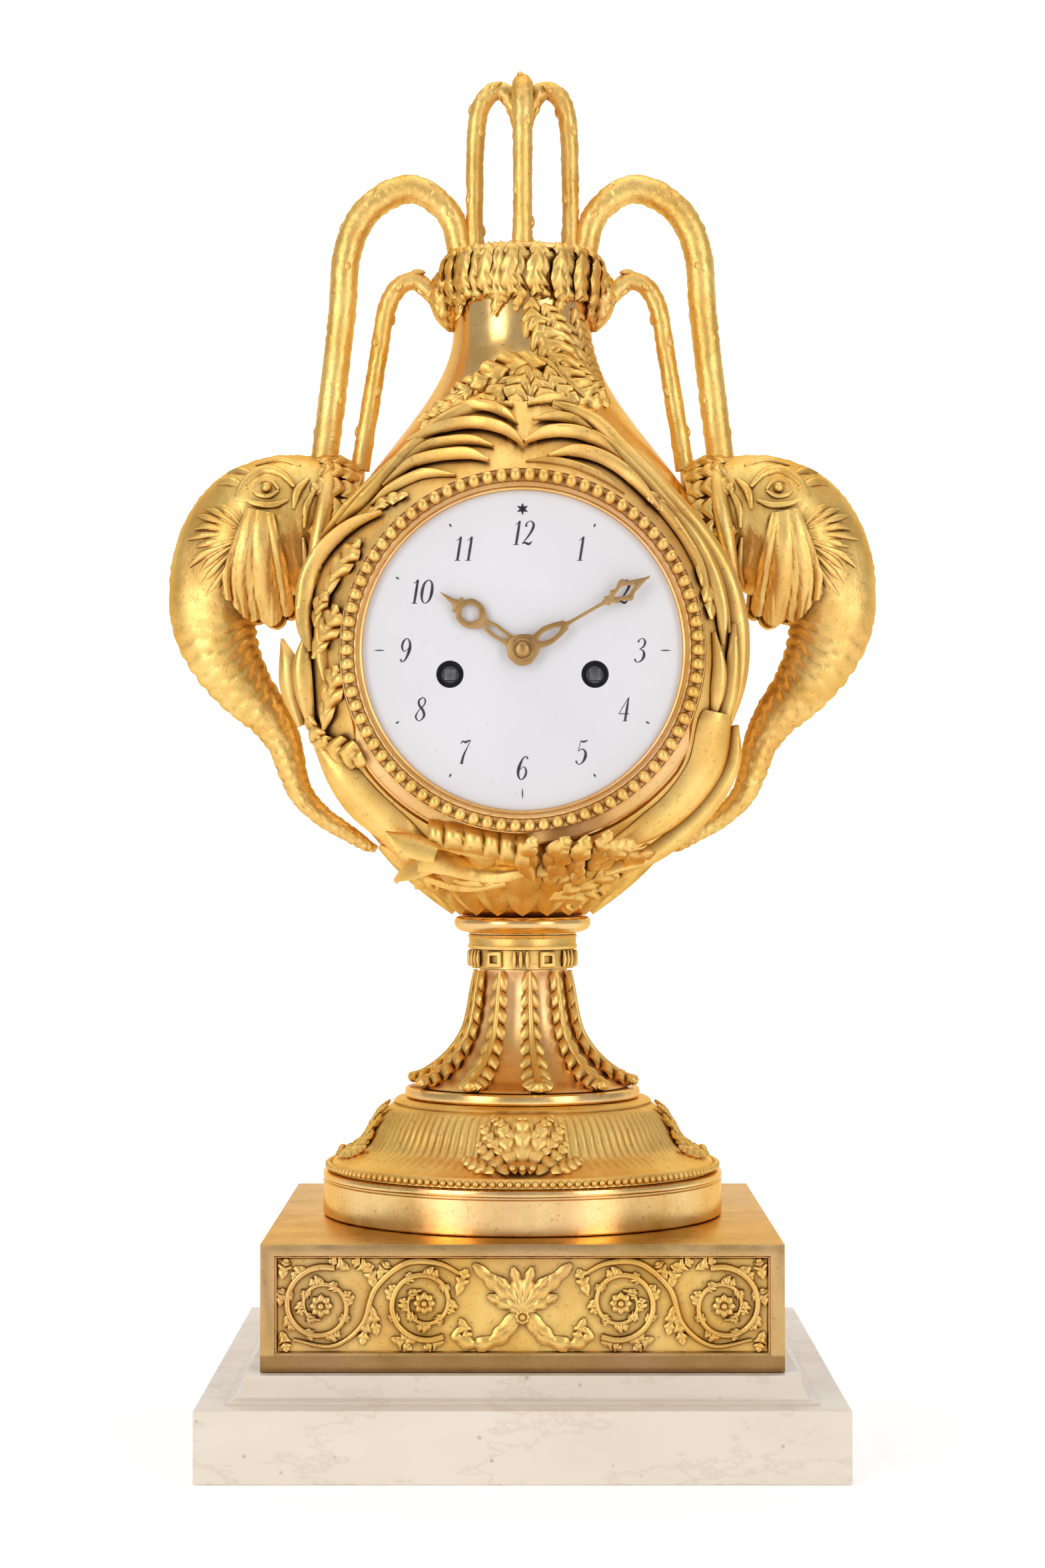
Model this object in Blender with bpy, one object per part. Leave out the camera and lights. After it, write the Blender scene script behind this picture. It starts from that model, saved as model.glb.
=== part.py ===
"""Gilt-bronze vase clock with elephant-head handles, on a square plinth and a white marble base.

Metres, +Z up. The origin is the middle of the marble's underside and the dial faces -Y.
"""

import math

import bmesh
import bpy
from mathutils import Matrix, Vector

# Clearance left where one piece rests on or in another
JOINT_GAP = 0.0003

# White marble base
MARBLE_WIDTH = 0.197
MARBLE_SLAB_HEIGHT = 0.022
MARBLE_LEDGE = 0.009
MARBLE_COVE_RUN = 0.0045
MARBLE_COVE_HEIGHT = 0.008
MARBLE_COVE_STEPS = 4
MARBLE_ARRIS = 0.0006

# Square plinth, a box open below, with a framed recess in each side
PLINTH_WIDTH = 0.160
PLINTH_HEIGHT = 0.0388
PLINTH_FRAME = 0.0040
PLINTH_WALL = 0.0025
PANEL_RECESS = 0.0024
RECESS_DRAFT = 0.00001

# Frieze panels set in the recesses; leans are degrees from upright
PANEL_PLATE = 0.0009
PANEL_MARGIN = 0.0012
SCROLL_HEIGHT = 0.0010
SCROLL_BAND = 0.0030
SCROLL_TURNS = 1.15
SCROLL_TIGHTENING = 0.78
SCROLL_TAPER = 0.35
SCROLL_STEPS = 7
SCROLLS_A_SIDE = 2
PALMETTE_GAP = 0.94
PALMETTE_LEANS = (22, 58)
PALMETTE_LENGTH = 1.55
PALMETTE_ROOT = 0.75

# Round foot, from the plinth up
STEP_RADIUS = 0.0658
STEP_HEIGHT = 0.0142
STEP_CHAMFER = 0.0010
DOME_BASE_RADIUS = 0.0640
DOME_SHOULDER_RADIUS = 0.0450
DOME_HEIGHT = 0.0232
DOME_BEAD_RADIUS = 0.0016
# Shares of the dome's run inwards and of its rise above the beads
DOME_SHAPE = ((0.0, 0.0), (0.36, 0.09), (0.64, 0.26), (0.84, 0.62), (1.10, 1.0))
FILLET_RADIUS = 0.0388
FILLET_HEIGHT = 0.0034
FILLET_CHAMFER = 0.0012
STEM_FOOT_RADIUS = 0.0350
STEM_WAIST_RADIUS = 0.0140
STEM_HEIGHT = 0.0385
STEM_FLARE = 2.9
STEM_RINGS = (0.0, 0.05, 0.13, 0.24, 0.38, 0.58, 1.0)
STEM_LEAVES = 10
STEM_LEAF_RELIEF = 0.0016
STEM_TIP_RELIEF = 0.0018
STEM_TIP_RISE = 0.09
STEM_TIP_SPREAD = 0.07
STEM_LEAF_PHASE = 8.0
BAND_RADIUS = 0.0180
BAND_HEIGHT = 0.0110
BAND_BLOCKS = 8
BAND_NOTCH = 0.0010
# Shares of the band's height, with the share of the notch cut at each
BAND_ROWS = ((0.0, 0.0), (0.12, 1.0), (0.66, 1.0), (0.68, 0.0), (1.0, 0.0))
CUP_RING_RADIUS = 0.0226
CUP_RING_HEIGHT = 0.0058
# Shares of the ring's swell past the band and of its height
CUP_RING_SHAPE = ((0.0, 0.0), (0.30, 0.36), (1.0, 0.74), (0.92, 1.0))

# Vase
VASE_HEIGHT = 0.2167
VASE_FOOT_RADIUS = 0.0200
VASE_BELLY_RADIUS = 0.0710
VASE_NECK_RADIUS = 0.0230
VASE_WALL = 0.0025
BELLY_RISE = 0.0843
BELLY_FULLNESS = 2.35
SHOULDER_FULLNESS = 1.35
NECK_LENGTH = 0.0228
VASE_RINGS = (0.0, 0.04, 0.09, 0.16, 0.26, 0.39, 0.52, 0.62, 0.69, 0.76, 0.82, 0.88, 1.0)

# Dial, bezel and the drums that stand out of the vase's front and back
DIAL_SIGHT_RADIUS = 0.0500
DIAL_LAP = 0.0030
DIAL_THICKNESS = 0.0012
DIAL_BULGE = 0.0014
DRUM_WALL = 0.0025
DRUM_PROUD = 0.00422
DRUM_ROOT = 0.0380
BEZEL_THICKNESS = 0.0028
BEZEL_CHAMFER = 0.0011
BEZEL_OUTER_LIP = 0.0010
BEAD_COUNT = 92
BEAD_RADIUS = 0.0017
BEAD_RISE = 0.0026
BEAD_DIP_RISE = 0.0010
REAR_COVER_RADIUS = 0.0450
REAR_COVER_THICKNESS = 0.0025
REAR_COVER_CHAMFER = 0.0010
REAR_DRUM_PROUD = 0.00166
REAR_DRUM_ROOT = 0.0470

# Hands and winding squares
HAND_THICKNESS = 0.0008
HAND_GAP = 0.0007
HAND_HUB_RADIUS = 0.0047
# Length, half width of the stem, place of the ornament and its half width
HOUR_HAND_LENGTH = 0.0312
HOUR_HAND_STEM = 0.0018
HOUR_ORNAMENT_AT = 0.0225
HOUR_ORNAMENT = 0.0036
MINUTE_HAND_LENGTH = 0.0459
MINUTE_HAND_STEM = 0.0015
MINUTE_ORNAMENT_AT = 0.0365
MINUTE_ORNAMENT = 0.0027
ARBOR_RADIUS = 0.0013
ARBOR_CLEARANCE = 0.0004
ARBOR_COLLAR_RADIUS = 0.0040
ARBOR_COLLAR_THICKNESS = 0.0012
NUT_RADIUS = 0.0032
NUT_HEIGHT = 0.0026
NUT_DOME = ((1.0, 0.0), (0.9, 0.5), (0.45, 0.9), (0.0, 1.0))
SHOWN_HOUR = 10
SHOWN_MINUTE = 10
WINDING_SPREAD = 0.0227
WINDING_DROP = 0.0075
WINDING_CUP_RADIUS = 0.0043
WINDING_CUP_WALL = 0.0009
WINDING_CUP_DEPTH = 0.0050
WINDING_SQUARE = 0.0034

# Palm branches round the dial
BRANCH_SETBACK = 0.0024
BRANCH_SLOPE = 0.95
BRANCH_WIDTH = 0.0160
BRANCH_TOP_RISE = 0.0100
BRANCH_TOP_FROM = 0.62
BRANCH_FOOT_SHARE = 0.45
BRANCH_WEB = 0.0024
BRANCH_START = 175.0
BRANCH_END = 3.0
PALM_BLADES = 7
BLADE_TIP = 0.0030
BLADE_THICKNESS = 0.0020
LEAF_SWELL = 0.85

# Ribbon bow under the dial
BOW_DROP = 0.0675
BOW_LOOP_LENGTH = 0.0280
BOW_LOOP_HALF = 0.0068
BOW_RIM = 0.0017
BOW_RISE = 0.12
BOW_RIBBON_WIDTH = 0.0052
BOW_RIBBON_THICKNESS = 0.0016
BOW_SWEEP = 0.25
BOW_LOOP_STEPS = 8
BOW_TAIL_STEPS = 6
BOW_TAIL_REACH = 1.35
BOW_TAIL_FALL = 0.30
BOW_TAIL_WAVE = 0.08
KNOT_WIDTH = 0.0050

# Collar of leaves, cap and vine spray at the neck
COLLAR_HEIGHT = 0.0120
COLLAR_THICKNESS = 0.0036
COLLAR_LEAVES = 8
COLLAR_LEAF_LENGTH = 0.0215
COLLAR_LEAF_WIDTH = 0.0056
BUD_LENGTH = 0.0200
BUD_WIDTH = 0.0066
CAP_RADIUS = 0.0255
CAP_HEIGHT = 0.0030
SPRAY_THICKNESS = 0.0034
SPRAY_HEIGHT = 0.0310
SPRAY_LEAF_WIDTH = 0.0078
SPRAY_SIDE_LEAF_WIDTH = 0.0047
SPRAY_NOTCH = 0.28

# Elephant-head handles, from crown to trunk tip, and how far above the dial's axis their necks sit
ELEPHANT_HEIGHT = 0.131
ELEPHANT_RISE = 0.0444
EAR_PLEAT = 0.0018

# Stalks from the handles to the neck, and the four that make the finial
OUTER_STALK_RADIUS = 0.0046
OUTER_STALK_END_RADIUS = 0.0032
OUTER_STALK_INSET = 0.0040
INNER_STALK_RADIUS = 0.0029
INNER_STALK_END_RADIUS = 0.0023
FINIAL_STALKS = 4
FINIAL_STALK_RADIUS = 0.0029
FINIAL_SPREAD = 0.0162
FINIAL_FOOT_SPREAD = 0.0142
FINIAL_HEIGHT = 0.0540
FINIAL_STEPS = 15
KNOB_RADIUS = 0.0036

# Heights of the joints, from the ground up
MARBLE_TOP = MARBLE_SLAB_HEIGHT + MARBLE_COVE_HEIGHT
PLINTH_BASE = MARBLE_TOP + JOINT_GAP
STEP_BASE = PLINTH_BASE + PLINTH_HEIGHT + JOINT_GAP
DOME_BASE = STEP_BASE + STEP_HEIGHT + JOINT_GAP
FILLET_BASE = DOME_BASE + DOME_HEIGHT + JOINT_GAP
STEM_BASE = FILLET_BASE + FILLET_HEIGHT + JOINT_GAP
BAND_BASE = STEM_BASE + STEM_HEIGHT + JOINT_GAP
CUP_RING_BASE = BAND_BASE + BAND_HEIGHT + JOINT_GAP
VASE_BASE = CUP_RING_BASE + CUP_RING_HEIGHT + JOINT_GAP
VASE_TOP = VASE_BASE + VASE_HEIGHT
CAP_BASE = VASE_TOP + JOINT_GAP
CAP_TOP = CAP_BASE + CAP_HEIGHT
DIAL_HEIGHT = VASE_BASE + BELLY_RISE
SHOULDER_REACH = VASE_HEIGHT - BELLY_RISE - NECK_LENGTH
BEZEL_RADIUS = DIAL_SIGHT_RADIUS + DIAL_LAP + DRUM_WALL + BEZEL_OUTER_LIP
DRUM_BORE_RADIUS = DIAL_SIGHT_RADIUS + DIAL_LAP + JOINT_GAP
DRUM_RADIUS = DRUM_BORE_RADIUS + DRUM_WALL
REAR_DRUM_RADIUS = REAR_COVER_RADIUS + JOINT_GAP + DRUM_WALL

FINE_SIDES = 28
ROUND_SIDES = 24
SMALL_ROUND_SIDES = 20
SMALL_SIDES = 10

GILT = ("gilt_bronze", (0.83, 0.55, 0.16), 0.30, 1.0)
BURNISHED = ("burnished_gilt", (0.86, 0.60, 0.24), 0.18, 1.0)
MARBLE = ("white_marble", (0.84, 0.79, 0.71), 0.35, 0.0)
ENAMEL = ("white_enamel", (0.88, 0.87, 0.89), 0.12, 0.0)
HAND_GILT = ("hand_gilt", (0.66, 0.47, 0.24), 0.35, 1.0)
STEEL = ("winding_steel", (0.20, 0.20, 0.20), 0.45, 0.9)


def clear_scene():
    for old in list(bpy.data.objects):
        bpy.data.objects.remove(old, do_unlink=True)


def material(finish):
    name, colour, roughness, metallic = finish
    found = bpy.data.materials.get(name)
    if found:
        return found
    made = bpy.data.materials.new(name)
    made.use_nodes = True
    shader = made.node_tree.nodes["Principled BSDF"]
    shader.inputs["Base Color"].default_value = (*colour, 1.0)
    shader.inputs["Roughness"].default_value = roughness
    shader.inputs["Metallic"].default_value = metallic
    return made


def as_object(name, bm, finish, smooth=40.0):
    """Turns a bmesh into a named object in the scene, faces out."""
    bmesh.ops.recalc_face_normals(bm, faces=bm.faces[:])
    mesh = bpy.data.meshes.new(name)
    bm.to_mesh(mesh)
    bm.free()
    mesh.materials.append(material(finish))
    mesh.shade_smooth()
    mesh.set_sharp_from_angle(angle=math.radians(smooth))
    made = bpy.data.objects.new(name, mesh)
    bpy.context.scene.collection.objects.link(made)
    return made


def as_helper(helper):
    """Keeps a cutter or a blank out of the finished object."""
    helper.hide_render = True
    helper.display_type = "WIRE"
    return helper


def combine(target, operation, *others):
    for other in others:
        as_helper(other)
        boolean = target.modifiers.new(f"{operation.title()} {other.name}", "BOOLEAN")
        boolean.operation = operation
        boolean.solver = "EXACT"
        boolean.object = other
    return target


def join_all(target, pieces):
    """Unites many pieces with the target in one Boolean."""
    group = bpy.data.collections.new(f"{target.name}_pieces")
    group.hide_render = True
    bpy.context.scene.collection.children.link(group)
    for piece in pieces:
        as_helper(piece)
        bpy.context.scene.collection.objects.unlink(piece)
        group.objects.link(piece)
    boolean = target.modifiers.new("Join pieces", "BOOLEAN")
    boolean.operation = "UNION"
    boolean.solver = "EXACT"
    boolean.operand_type = "COLLECTION"
    boolean.collection = group
    return target


def face_forward(obj):
    """Turns a piece made about +Z to face -Y, on the dial's axis."""
    obj.rotation_euler = (math.radians(90), 0, 0)
    obj.location = (0, 0, DIAL_HEIGHT)
    return obj


# Shapes


def spun(profile, sides):
    """A solid turned about Z from (radius, height) points; a profile off the axis closes on itself."""
    bm = bmesh.new()
    start = math.pi / sides
    across, along = math.cos(start), math.sin(start)
    points = [bm.verts.new((radius * across, radius * along, height)) for radius, height in profile]
    edges = [bm.edges.new(pair) for pair in zip(points, points[1:])]
    if profile[0][0] > 0:
        edges.append(bm.edges.new((points[-1], points[0])))
    bmesh.ops.spin(
        bm,
        geom=points + edges,
        cent=(0, 0, 0),
        axis=(0, 0, 1),
        angle=math.tau,
        steps=sides,
        use_merge=True,
    )
    bmesh.ops.remove_doubles(bm, verts=bm.verts[:], dist=1e-6)
    return bm


def turned(name, profile, sides, finish):
    return as_object(name, spun(profile, sides), finish)


def cylinder(name, radius, low, high, sides, finish):
    return turned(name, [(0, low), (radius, low), (radius, high), (0, high)], sides, finish)


def between(before, start, end, after, t):
    """The value a share t of the way from start to end on a smooth curve."""
    slope = end - before
    bend = 2 * before - 5 * start + 4 * end - after
    twist = 3 * start - before - 3 * end + after
    return 0.5 * (2 * start + slope * t + bend * t * t + twist * t**3)


def through(controls, count):
    """count tuples on a smooth curve through the control tuples."""
    ends = [controls[0], *controls, controls[-1]]
    spans = len(controls) - 1
    made = []
    for i in range(count):
        position = spans * i / (count - 1)
        span = min(int(position), spans - 1)
        t = position - span
        made.append(tuple(between(*values, t) for values in zip(*ends[span : span + 4])))
    return made


def add_loft(bm, rings):
    """Skins rings of points; a ring of one point is a tip, and other ends are closed flat."""
    made = [[bm.verts.new(point) for point in ring] for ring in rings]
    for first, second in zip(made, made[1:]):
        count = max(len(first), len(second))
        for i in range(count):
            j = (i + 1) % count
            low = [first[i % len(first)], first[j % len(first)]]
            high = [second[j % len(second)], second[i % len(second)]]
            bm.faces.new(list(dict.fromkeys(low + high)))
    for end in (made[0], made[-1]):
        if len(end) > 2:
            bm.faces.new(end)


def add_sweep(bm, points, guides, widths, heights, section):
    """Sweeps a (side, up) section along points; guides hold the way up, and no width makes a tip."""
    rings = []
    last = len(points) - 1
    for i, point in enumerate(points):
        along = (points[min(i + 1, last)] - points[max(i - 1, 0)]).normalized()
        side = along.cross(guides[i]).normalized()
        up = side.cross(along)
        if widths[i] <= 0:
            rings.append([point])
        else:
            rings.append([point + side * widths[i] * s + up * heights[i] * u for s, u in section])
    add_loft(bm, rings)


RIDGE_SECTION = [(-1, -0.35), (0, 1), (1, -0.35)]
BAND_SECTION = [(-1, -1), (-1, 1), (1, 1), (1, -1)]
STEEPEST = 0.98


def round_section(sides):
    return [(math.cos(math.tau * i / sides), math.sin(math.tau * i / sides)) for i in range(sides)]


def blade(name, points, guides, half_width, thickness, notch=0.0):
    """A pointed, ridged leaf; notch narrows every other station, as a serrated edge does."""
    last = len(points) - 1
    widths = []
    for i in range(last + 1):
        swell = math.sin(math.pi * (i / last) ** LEAF_SWELL)
        widths.append(half_width * swell * (1 - notch * (i % 2)) if 0 < i < last else 0.0)
    heights = [thickness * (0.5 + 0.5 * width / half_width) for width in widths]
    bm = bmesh.new()
    add_sweep(bm, points, guides, widths, heights, RIDGE_SECTION)
    return as_object(name, bm, GILT)


def add_tube(bm, points, guide, radii, sides):
    add_sweep(bm, points, [guide] * len(points), radii, radii, round_section(sides))


def add_ball(bm, centre, semi_axes, sides):
    made = bmesh.ops.create_uvsphere(bm, u_segments=sides, v_segments=max(4, sides // 2), radius=1.0)
    stretch = Matrix.Diagonal((*semi_axes, 1.0))
    bmesh.ops.transform(bm, matrix=Matrix.Translation(centre) @ stretch, verts=made["verts"])


# Surfaces that the ornaments follow


def vase_radius(height):
    """The vase's outer radius at a height above the ground."""
    rise = height - VASE_BASE
    if rise <= BELLY_RISE:
        share = max(rise, 0) / BELLY_RISE
        return VASE_FOOT_RADIUS + (VASE_BELLY_RADIUS - VASE_FOOT_RADIUS) * (1 - (1 - share) ** BELLY_FULLNESS)
    share = min((rise - BELLY_RISE) / SHOULDER_REACH, 1.0)
    fall = 0.5 + 0.5 * math.cos(math.pi * share**SHOULDER_FULLNESS)
    return VASE_NECK_RADIUS + (VASE_BELLY_RADIUS - VASE_NECK_RADIUS) * fall


# Each drum ends a little in front of the vase as it is at the height of the drum's upper rim
DRUM_REACH = vase_radius(DIAL_HEIGHT + BEZEL_RADIUS) + DRUM_PROUD
REAR_DRUM_REACH = vase_radius(DIAL_HEIGHT + REAR_DRUM_RADIUS) + REAR_DRUM_PROUD


def vase_front(x, height, lift=0.0):
    """The point on the vase's front at x and height, and the way out of the surface there."""
    radius = vase_radius(height)
    angle = math.asin(max(-STEEPEST, min(STEEPEST, x / radius)))
    out = Vector((math.sin(angle), -math.cos(angle), 0))
    step = VASE_WALL / 5
    slope = (vase_radius(height - step) - vase_radius(height + step)) / (2 * step)
    normal = (out + Vector((0, 0, slope))).normalized()
    return Vector((0, 0, height)) + out * radius + normal * lift, normal


def garland_point(radius, angle, lift=0.0):
    """A point on the leafy cone behind the bezel, clear of the vase, at degrees clockwise from the top."""
    a = math.radians(angle)
    out = Vector((math.sin(a), 0, math.cos(a)))
    point = Vector((0, 0, DIAL_HEIGHT)) + out * radius
    ahead = DRUM_REACH - BRANCH_SETBACK - BRANCH_SLOPE * (radius - DRUM_RADIUS)
    around = vase_radius(point.z) ** 2 - point.x**2
    if around > 0:
        ahead = max(ahead, math.sqrt(around) + BRANCH_WEB + 4 * JOINT_GAP)
    point.y = -ahead
    return point + (out * BRANCH_SLOPE + Vector((0, -1, 0))).normalized() * lift


# Marble base and plinth


def marble_profile():
    """Half widths and heights, from the underside to the top."""
    half = MARBLE_WIDTH / 2
    cove_foot = half - MARBLE_LEDGE
    cove_top = cove_foot - MARBLE_COVE_RUN
    rows = [(half, 0), (half, MARBLE_SLAB_HEIGHT - MARBLE_ARRIS), (half - MARBLE_ARRIS, MARBLE_SLAB_HEIGHT)]
    for i in range(MARBLE_COVE_STEPS + 1):
        turn = math.radians(90 * i / MARBLE_COVE_STEPS)
        run = MARBLE_COVE_RUN * (1 - math.cos(turn))
        rows.append((cove_foot - run, MARBLE_SLAB_HEIGHT + MARBLE_COVE_HEIGHT * math.sin(turn)))
    rows[-1] = (cove_top, MARBLE_TOP)
    return rows


def square_ring(half, height):
    return [Vector((sx * half, sy * half, height)) for sx, sy in ((-1, -1), (1, -1), (1, 1), (-1, 1))]


def build_marble_base():
    bm = bmesh.new()
    add_loft(bm, [square_ring(half, height) for half, height in marble_profile()])
    return as_object("marble_base", bm, MARBLE)


def build_plinth():
    half = PLINTH_WIDTH / 2
    bm = bmesh.new()
    add_loft(bm, [square_ring(half, PLINTH_BASE), square_ring(half, PLINTH_BASE + PLINTH_HEIGHT)])
    bmesh.ops.recalc_face_normals(bm, faces=bm.faces[:])
    sides = [face for face in bm.faces if abs(face.normal.z) < 0.5]
    bmesh.ops.inset_individual(bm, faces=sides, thickness=PLINTH_FRAME, depth=0.0)
    bmesh.ops.inset_individual(bm, faces=sides, thickness=RECESS_DRAFT, depth=-PANEL_RECESS)
    plinth = as_object("gilt_plinth", bm, BURNISHED)
    inside = half - PANEL_RECESS - PLINTH_WALL
    hollow = bmesh.new()
    top = PLINTH_BASE + PLINTH_HEIGHT - PLINTH_WALL
    add_loft(hollow, [square_ring(inside, PLINTH_BASE - PLINTH_WALL), square_ring(inside, top)])
    combine(plinth, "DIFFERENCE", as_object("plinth_hollow", hollow, BURNISHED))
    return plinth


def scroll_points(centre, radius, start, direction, depth):
    """A spiral of SCROLL_TURNS turns that runs from its rim in to its eye."""
    made = []
    for i in range(SCROLL_STEPS):
        share = i / (SCROLL_STEPS - 1)
        angle = start + direction * math.tau * SCROLL_TURNS * share
        reach = radius * (1 - SCROLL_TIGHTENING * share)
        made.append(Vector((centre + reach * math.cos(angle), depth, reach * math.sin(angle))))
    return made


def panel_size():
    width = PLINTH_WIDTH - 2 * PLINTH_FRAME - 2 * JOINT_GAP
    height = PLINTH_HEIGHT - 2 * PLINTH_FRAME - 2 * JOINT_GAP
    return width, height


def build_frieze_panel(name, quarter_turns, carved):
    """A frieze panel: a thin plate and, where carved, two scrolls each side of four leaves."""
    width, height = panel_size()
    back = -(PLINTH_WIDTH / 2 - PANEL_RECESS + JOINT_GAP)
    front = back - PANEL_PLATE
    bm = bmesh.new()
    corners = ((-1, -1), (1, -1), (1, 1), (-1, 1))
    add_loft(
        bm,
        [[Vector((sx * width / 2, y, sz * height / 2)) for sx, sz in corners] for y in (back, front)],
    )
    panel = as_object(name, bm, GILT)
    out = Vector((0, -1, 0))
    reach = height / 2 - PANEL_MARGIN - SCROLL_BAND / 2
    pitch = (width / 2 - PANEL_MARGIN - SCROLL_BAND / 2 - reach) / (SCROLLS_A_SIDE - 1 + PALMETTE_GAP)
    pieces = []
    for side in (-1, 1) if carved else ():
        for k in range(SCROLLS_A_SIDE):
            up = 1 if k % 2 else -1
            centre = side * pitch * (k + PALMETTE_GAP)
            points = scroll_points(centre, reach, up * math.pi / 2, side * up, front)
            shares = [i / (SCROLL_STEPS - 1) for i in range(SCROLL_STEPS)]
            widths = [SCROLL_BAND / 2 * (1 - SCROLL_TAPER * share) for share in shares]
            heights = [SCROLL_HEIGHT] * SCROLL_STEPS
            scroll = bmesh.new()
            add_sweep(scroll, points, [out] * SCROLL_STEPS, widths, heights, RIDGE_SECTION)
            pieces.append(as_object(f"{name}_scroll_{side}_{k}", scroll, GILT))
        for lean in PALMETTE_LEANS:
            turn = math.radians(lean)
            tip = Vector((side * math.sin(turn), 0, math.cos(turn))) * reach * PALMETTE_LENGTH
            root = Vector((side * SCROLL_BAND / 3, front, -reach * PALMETTE_ROOT))
            run = [root.lerp(root + tip, i / 3) for i in range(4)]
            pieces.append(blade(f"{name}_leaf_{side}_{lean}", run, [out] * 4, SCROLL_BAND / 2, SCROLL_HEIGHT))
    if pieces:
        join_all(panel, pieces)
    for piece in (panel, *pieces):
        piece.rotation_euler = (0, 0, math.radians(90 * quarter_turns))
        piece.location = (0, 0, PLINTH_BASE + PLINTH_HEIGHT / 2)
    return panel


# Round foot and stem


def build_step():
    return turned(
        "polished_step",
        [
            (0, STEP_BASE),
            (STEP_RADIUS, STEP_BASE),
            (STEP_RADIUS, STEP_BASE + STEP_HEIGHT - STEP_CHAMFER),
            (STEP_RADIUS - STEP_CHAMFER, STEP_BASE + STEP_HEIGHT),
            (0, STEP_BASE + STEP_HEIGHT),
        ],
        FINE_SIDES,
        BURNISHED,
    )


def dome_profile():
    """The foot's bead moulding, hollow flare, steep side and rounded shoulder."""
    bead = DOME_BEAD_RADIUS
    flare_foot = DOME_BASE_RADIUS - 2 * bead
    run = flare_foot - DOME_SHOULDER_RADIUS
    rise = DOME_HEIGHT - 2 * bead
    low = DOME_BASE + 2 * bead
    return [
        (0, DOME_BASE),
        (DOME_BASE_RADIUS - bead / 2, DOME_BASE),
        (DOME_BASE_RADIUS, DOME_BASE + bead),
        *[(flare_foot - run * inward, low + rise * upward) for inward, upward in DOME_SHAPE],
        (0, low + rise),
    ]


def build_fillet():
    profile = [
        (0, FILLET_BASE),
        (FILLET_RADIUS - FILLET_CHAMFER, FILLET_BASE),
        (FILLET_RADIUS, FILLET_BASE + FILLET_HEIGHT / 2),
        (FILLET_RADIUS - FILLET_CHAMFER, FILLET_BASE + FILLET_HEIGHT),
        (0, FILLET_BASE + FILLET_HEIGHT),
    ]
    return turned("foot_fillet", profile, ROUND_SIDES, BURNISHED)


def stem_radius(share):
    """The stem's radius at a share of its height, without its leaves."""
    return STEM_WAIST_RADIUS + (STEM_FOOT_RADIUS - STEM_WAIST_RADIUS) * (1 - share) ** STEM_FLARE


def build_stem():
    """A hollow-sided stem with upright leaves whose rounded tips stand out near its foot."""
    columns = STEM_LEAVES * 2
    rings = []
    for share in STEM_RINGS:
        ring = []
        tip = math.exp(-(((share - STEM_TIP_RISE) / STEM_TIP_SPREAD) ** 2))
        foot = min(share / STEM_RINGS[1], 1.0)
        for i in range(columns):
            relief = (STEM_LEAF_RELIEF + STEM_TIP_RELIEF * tip) * foot if i % 2 == 0 else 0.0
            radius = stem_radius(share) + relief
            angle = math.tau * i / columns + math.radians(STEM_LEAF_PHASE - 90)
            height = STEM_BASE + STEM_HEIGHT * share
            ring.append(Vector((radius * math.cos(angle), radius * math.sin(angle), height)))
        rings.append(ring)
    bm = bmesh.new()
    add_loft(bm, rings)
    return as_object("leaf_stem", bm, GILT)


def build_band():
    """The band over the stem, with a notch between each two of its blocks."""
    columns = BAND_BLOCKS * 4
    rings = []
    for share, depth in BAND_ROWS:
        ring = []
        for i in range(columns):
            notched = depth if i % 4 in (1, 2) else 0.0
            radius = BAND_RADIUS - BAND_NOTCH * notched
            angle = math.tau * (i + 0.5) / columns
            height = BAND_BASE + BAND_HEIGHT * share
            ring.append(Vector((radius * math.cos(angle), radius * math.sin(angle), height)))
        rings.append(ring)
    bm = bmesh.new()
    add_loft(bm, rings)
    return as_object("stem_band", bm, GILT)


def build_cup_ring():
    low = CUP_RING_BASE
    profile = [(0, low)]
    for outward, upward in CUP_RING_SHAPE:
        radius = BAND_RADIUS + (CUP_RING_RADIUS - BAND_RADIUS) * outward
        profile.append((radius, low + CUP_RING_HEIGHT * upward))
    profile.append((0, low + CUP_RING_HEIGHT))
    return turned("cup_ring", profile, SMALL_ROUND_SIDES, BURNISHED)


# Vase


def vase_heights():
    """Heights of the rings of the vase's outside, closest where its profile turns most."""
    return [VASE_BASE + VASE_HEIGHT * share for share in VASE_RINGS]


def build_vase():
    """The hollow vase, open at its top, with a drum for the dial and one for the back cover."""
    outside = [(vase_radius(height), height) for height in vase_heights()]
    floor = VASE_BASE + VASE_WALL
    inside_heights = [floor, *vase_heights()[3::2]]
    inside = [(vase_radius(height) - VASE_WALL, height) for height in inside_heights]
    vase = turned("vase_body", [(0, VASE_BASE), *outside, *inside[::-1], (0, floor)], FINE_SIDES, GILT)
    beyond = VASE_BELLY_RADIUS + 4 * VASE_WALL
    drums = []
    for label, facing, radius, root, reach in (
        ("dial", 1, DRUM_RADIUS, DRUM_ROOT, DRUM_REACH),
        ("rear", -1, REAR_DRUM_RADIUS, REAR_DRUM_ROOT, REAR_DRUM_REACH),
    ):
        bore = radius - DRUM_WALL
        middle = radius - DRUM_WALL / 2
        hole = cylinder(f"{label}_hole", middle, facing * root / 2, facing * beyond, ROUND_SIDES, GILT)
        combine(vase, "DIFFERENCE", face_forward(hole))
        profile = [(bore, root), (radius, root), (radius, reach), (bore, reach)]
        drum = turned(f"{label}_drum", [(r, facing * y) for r, y in profile], ROUND_SIDES, GILT)
        drums.append(face_forward(drum))
    return join_all(vase, drums)


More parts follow.
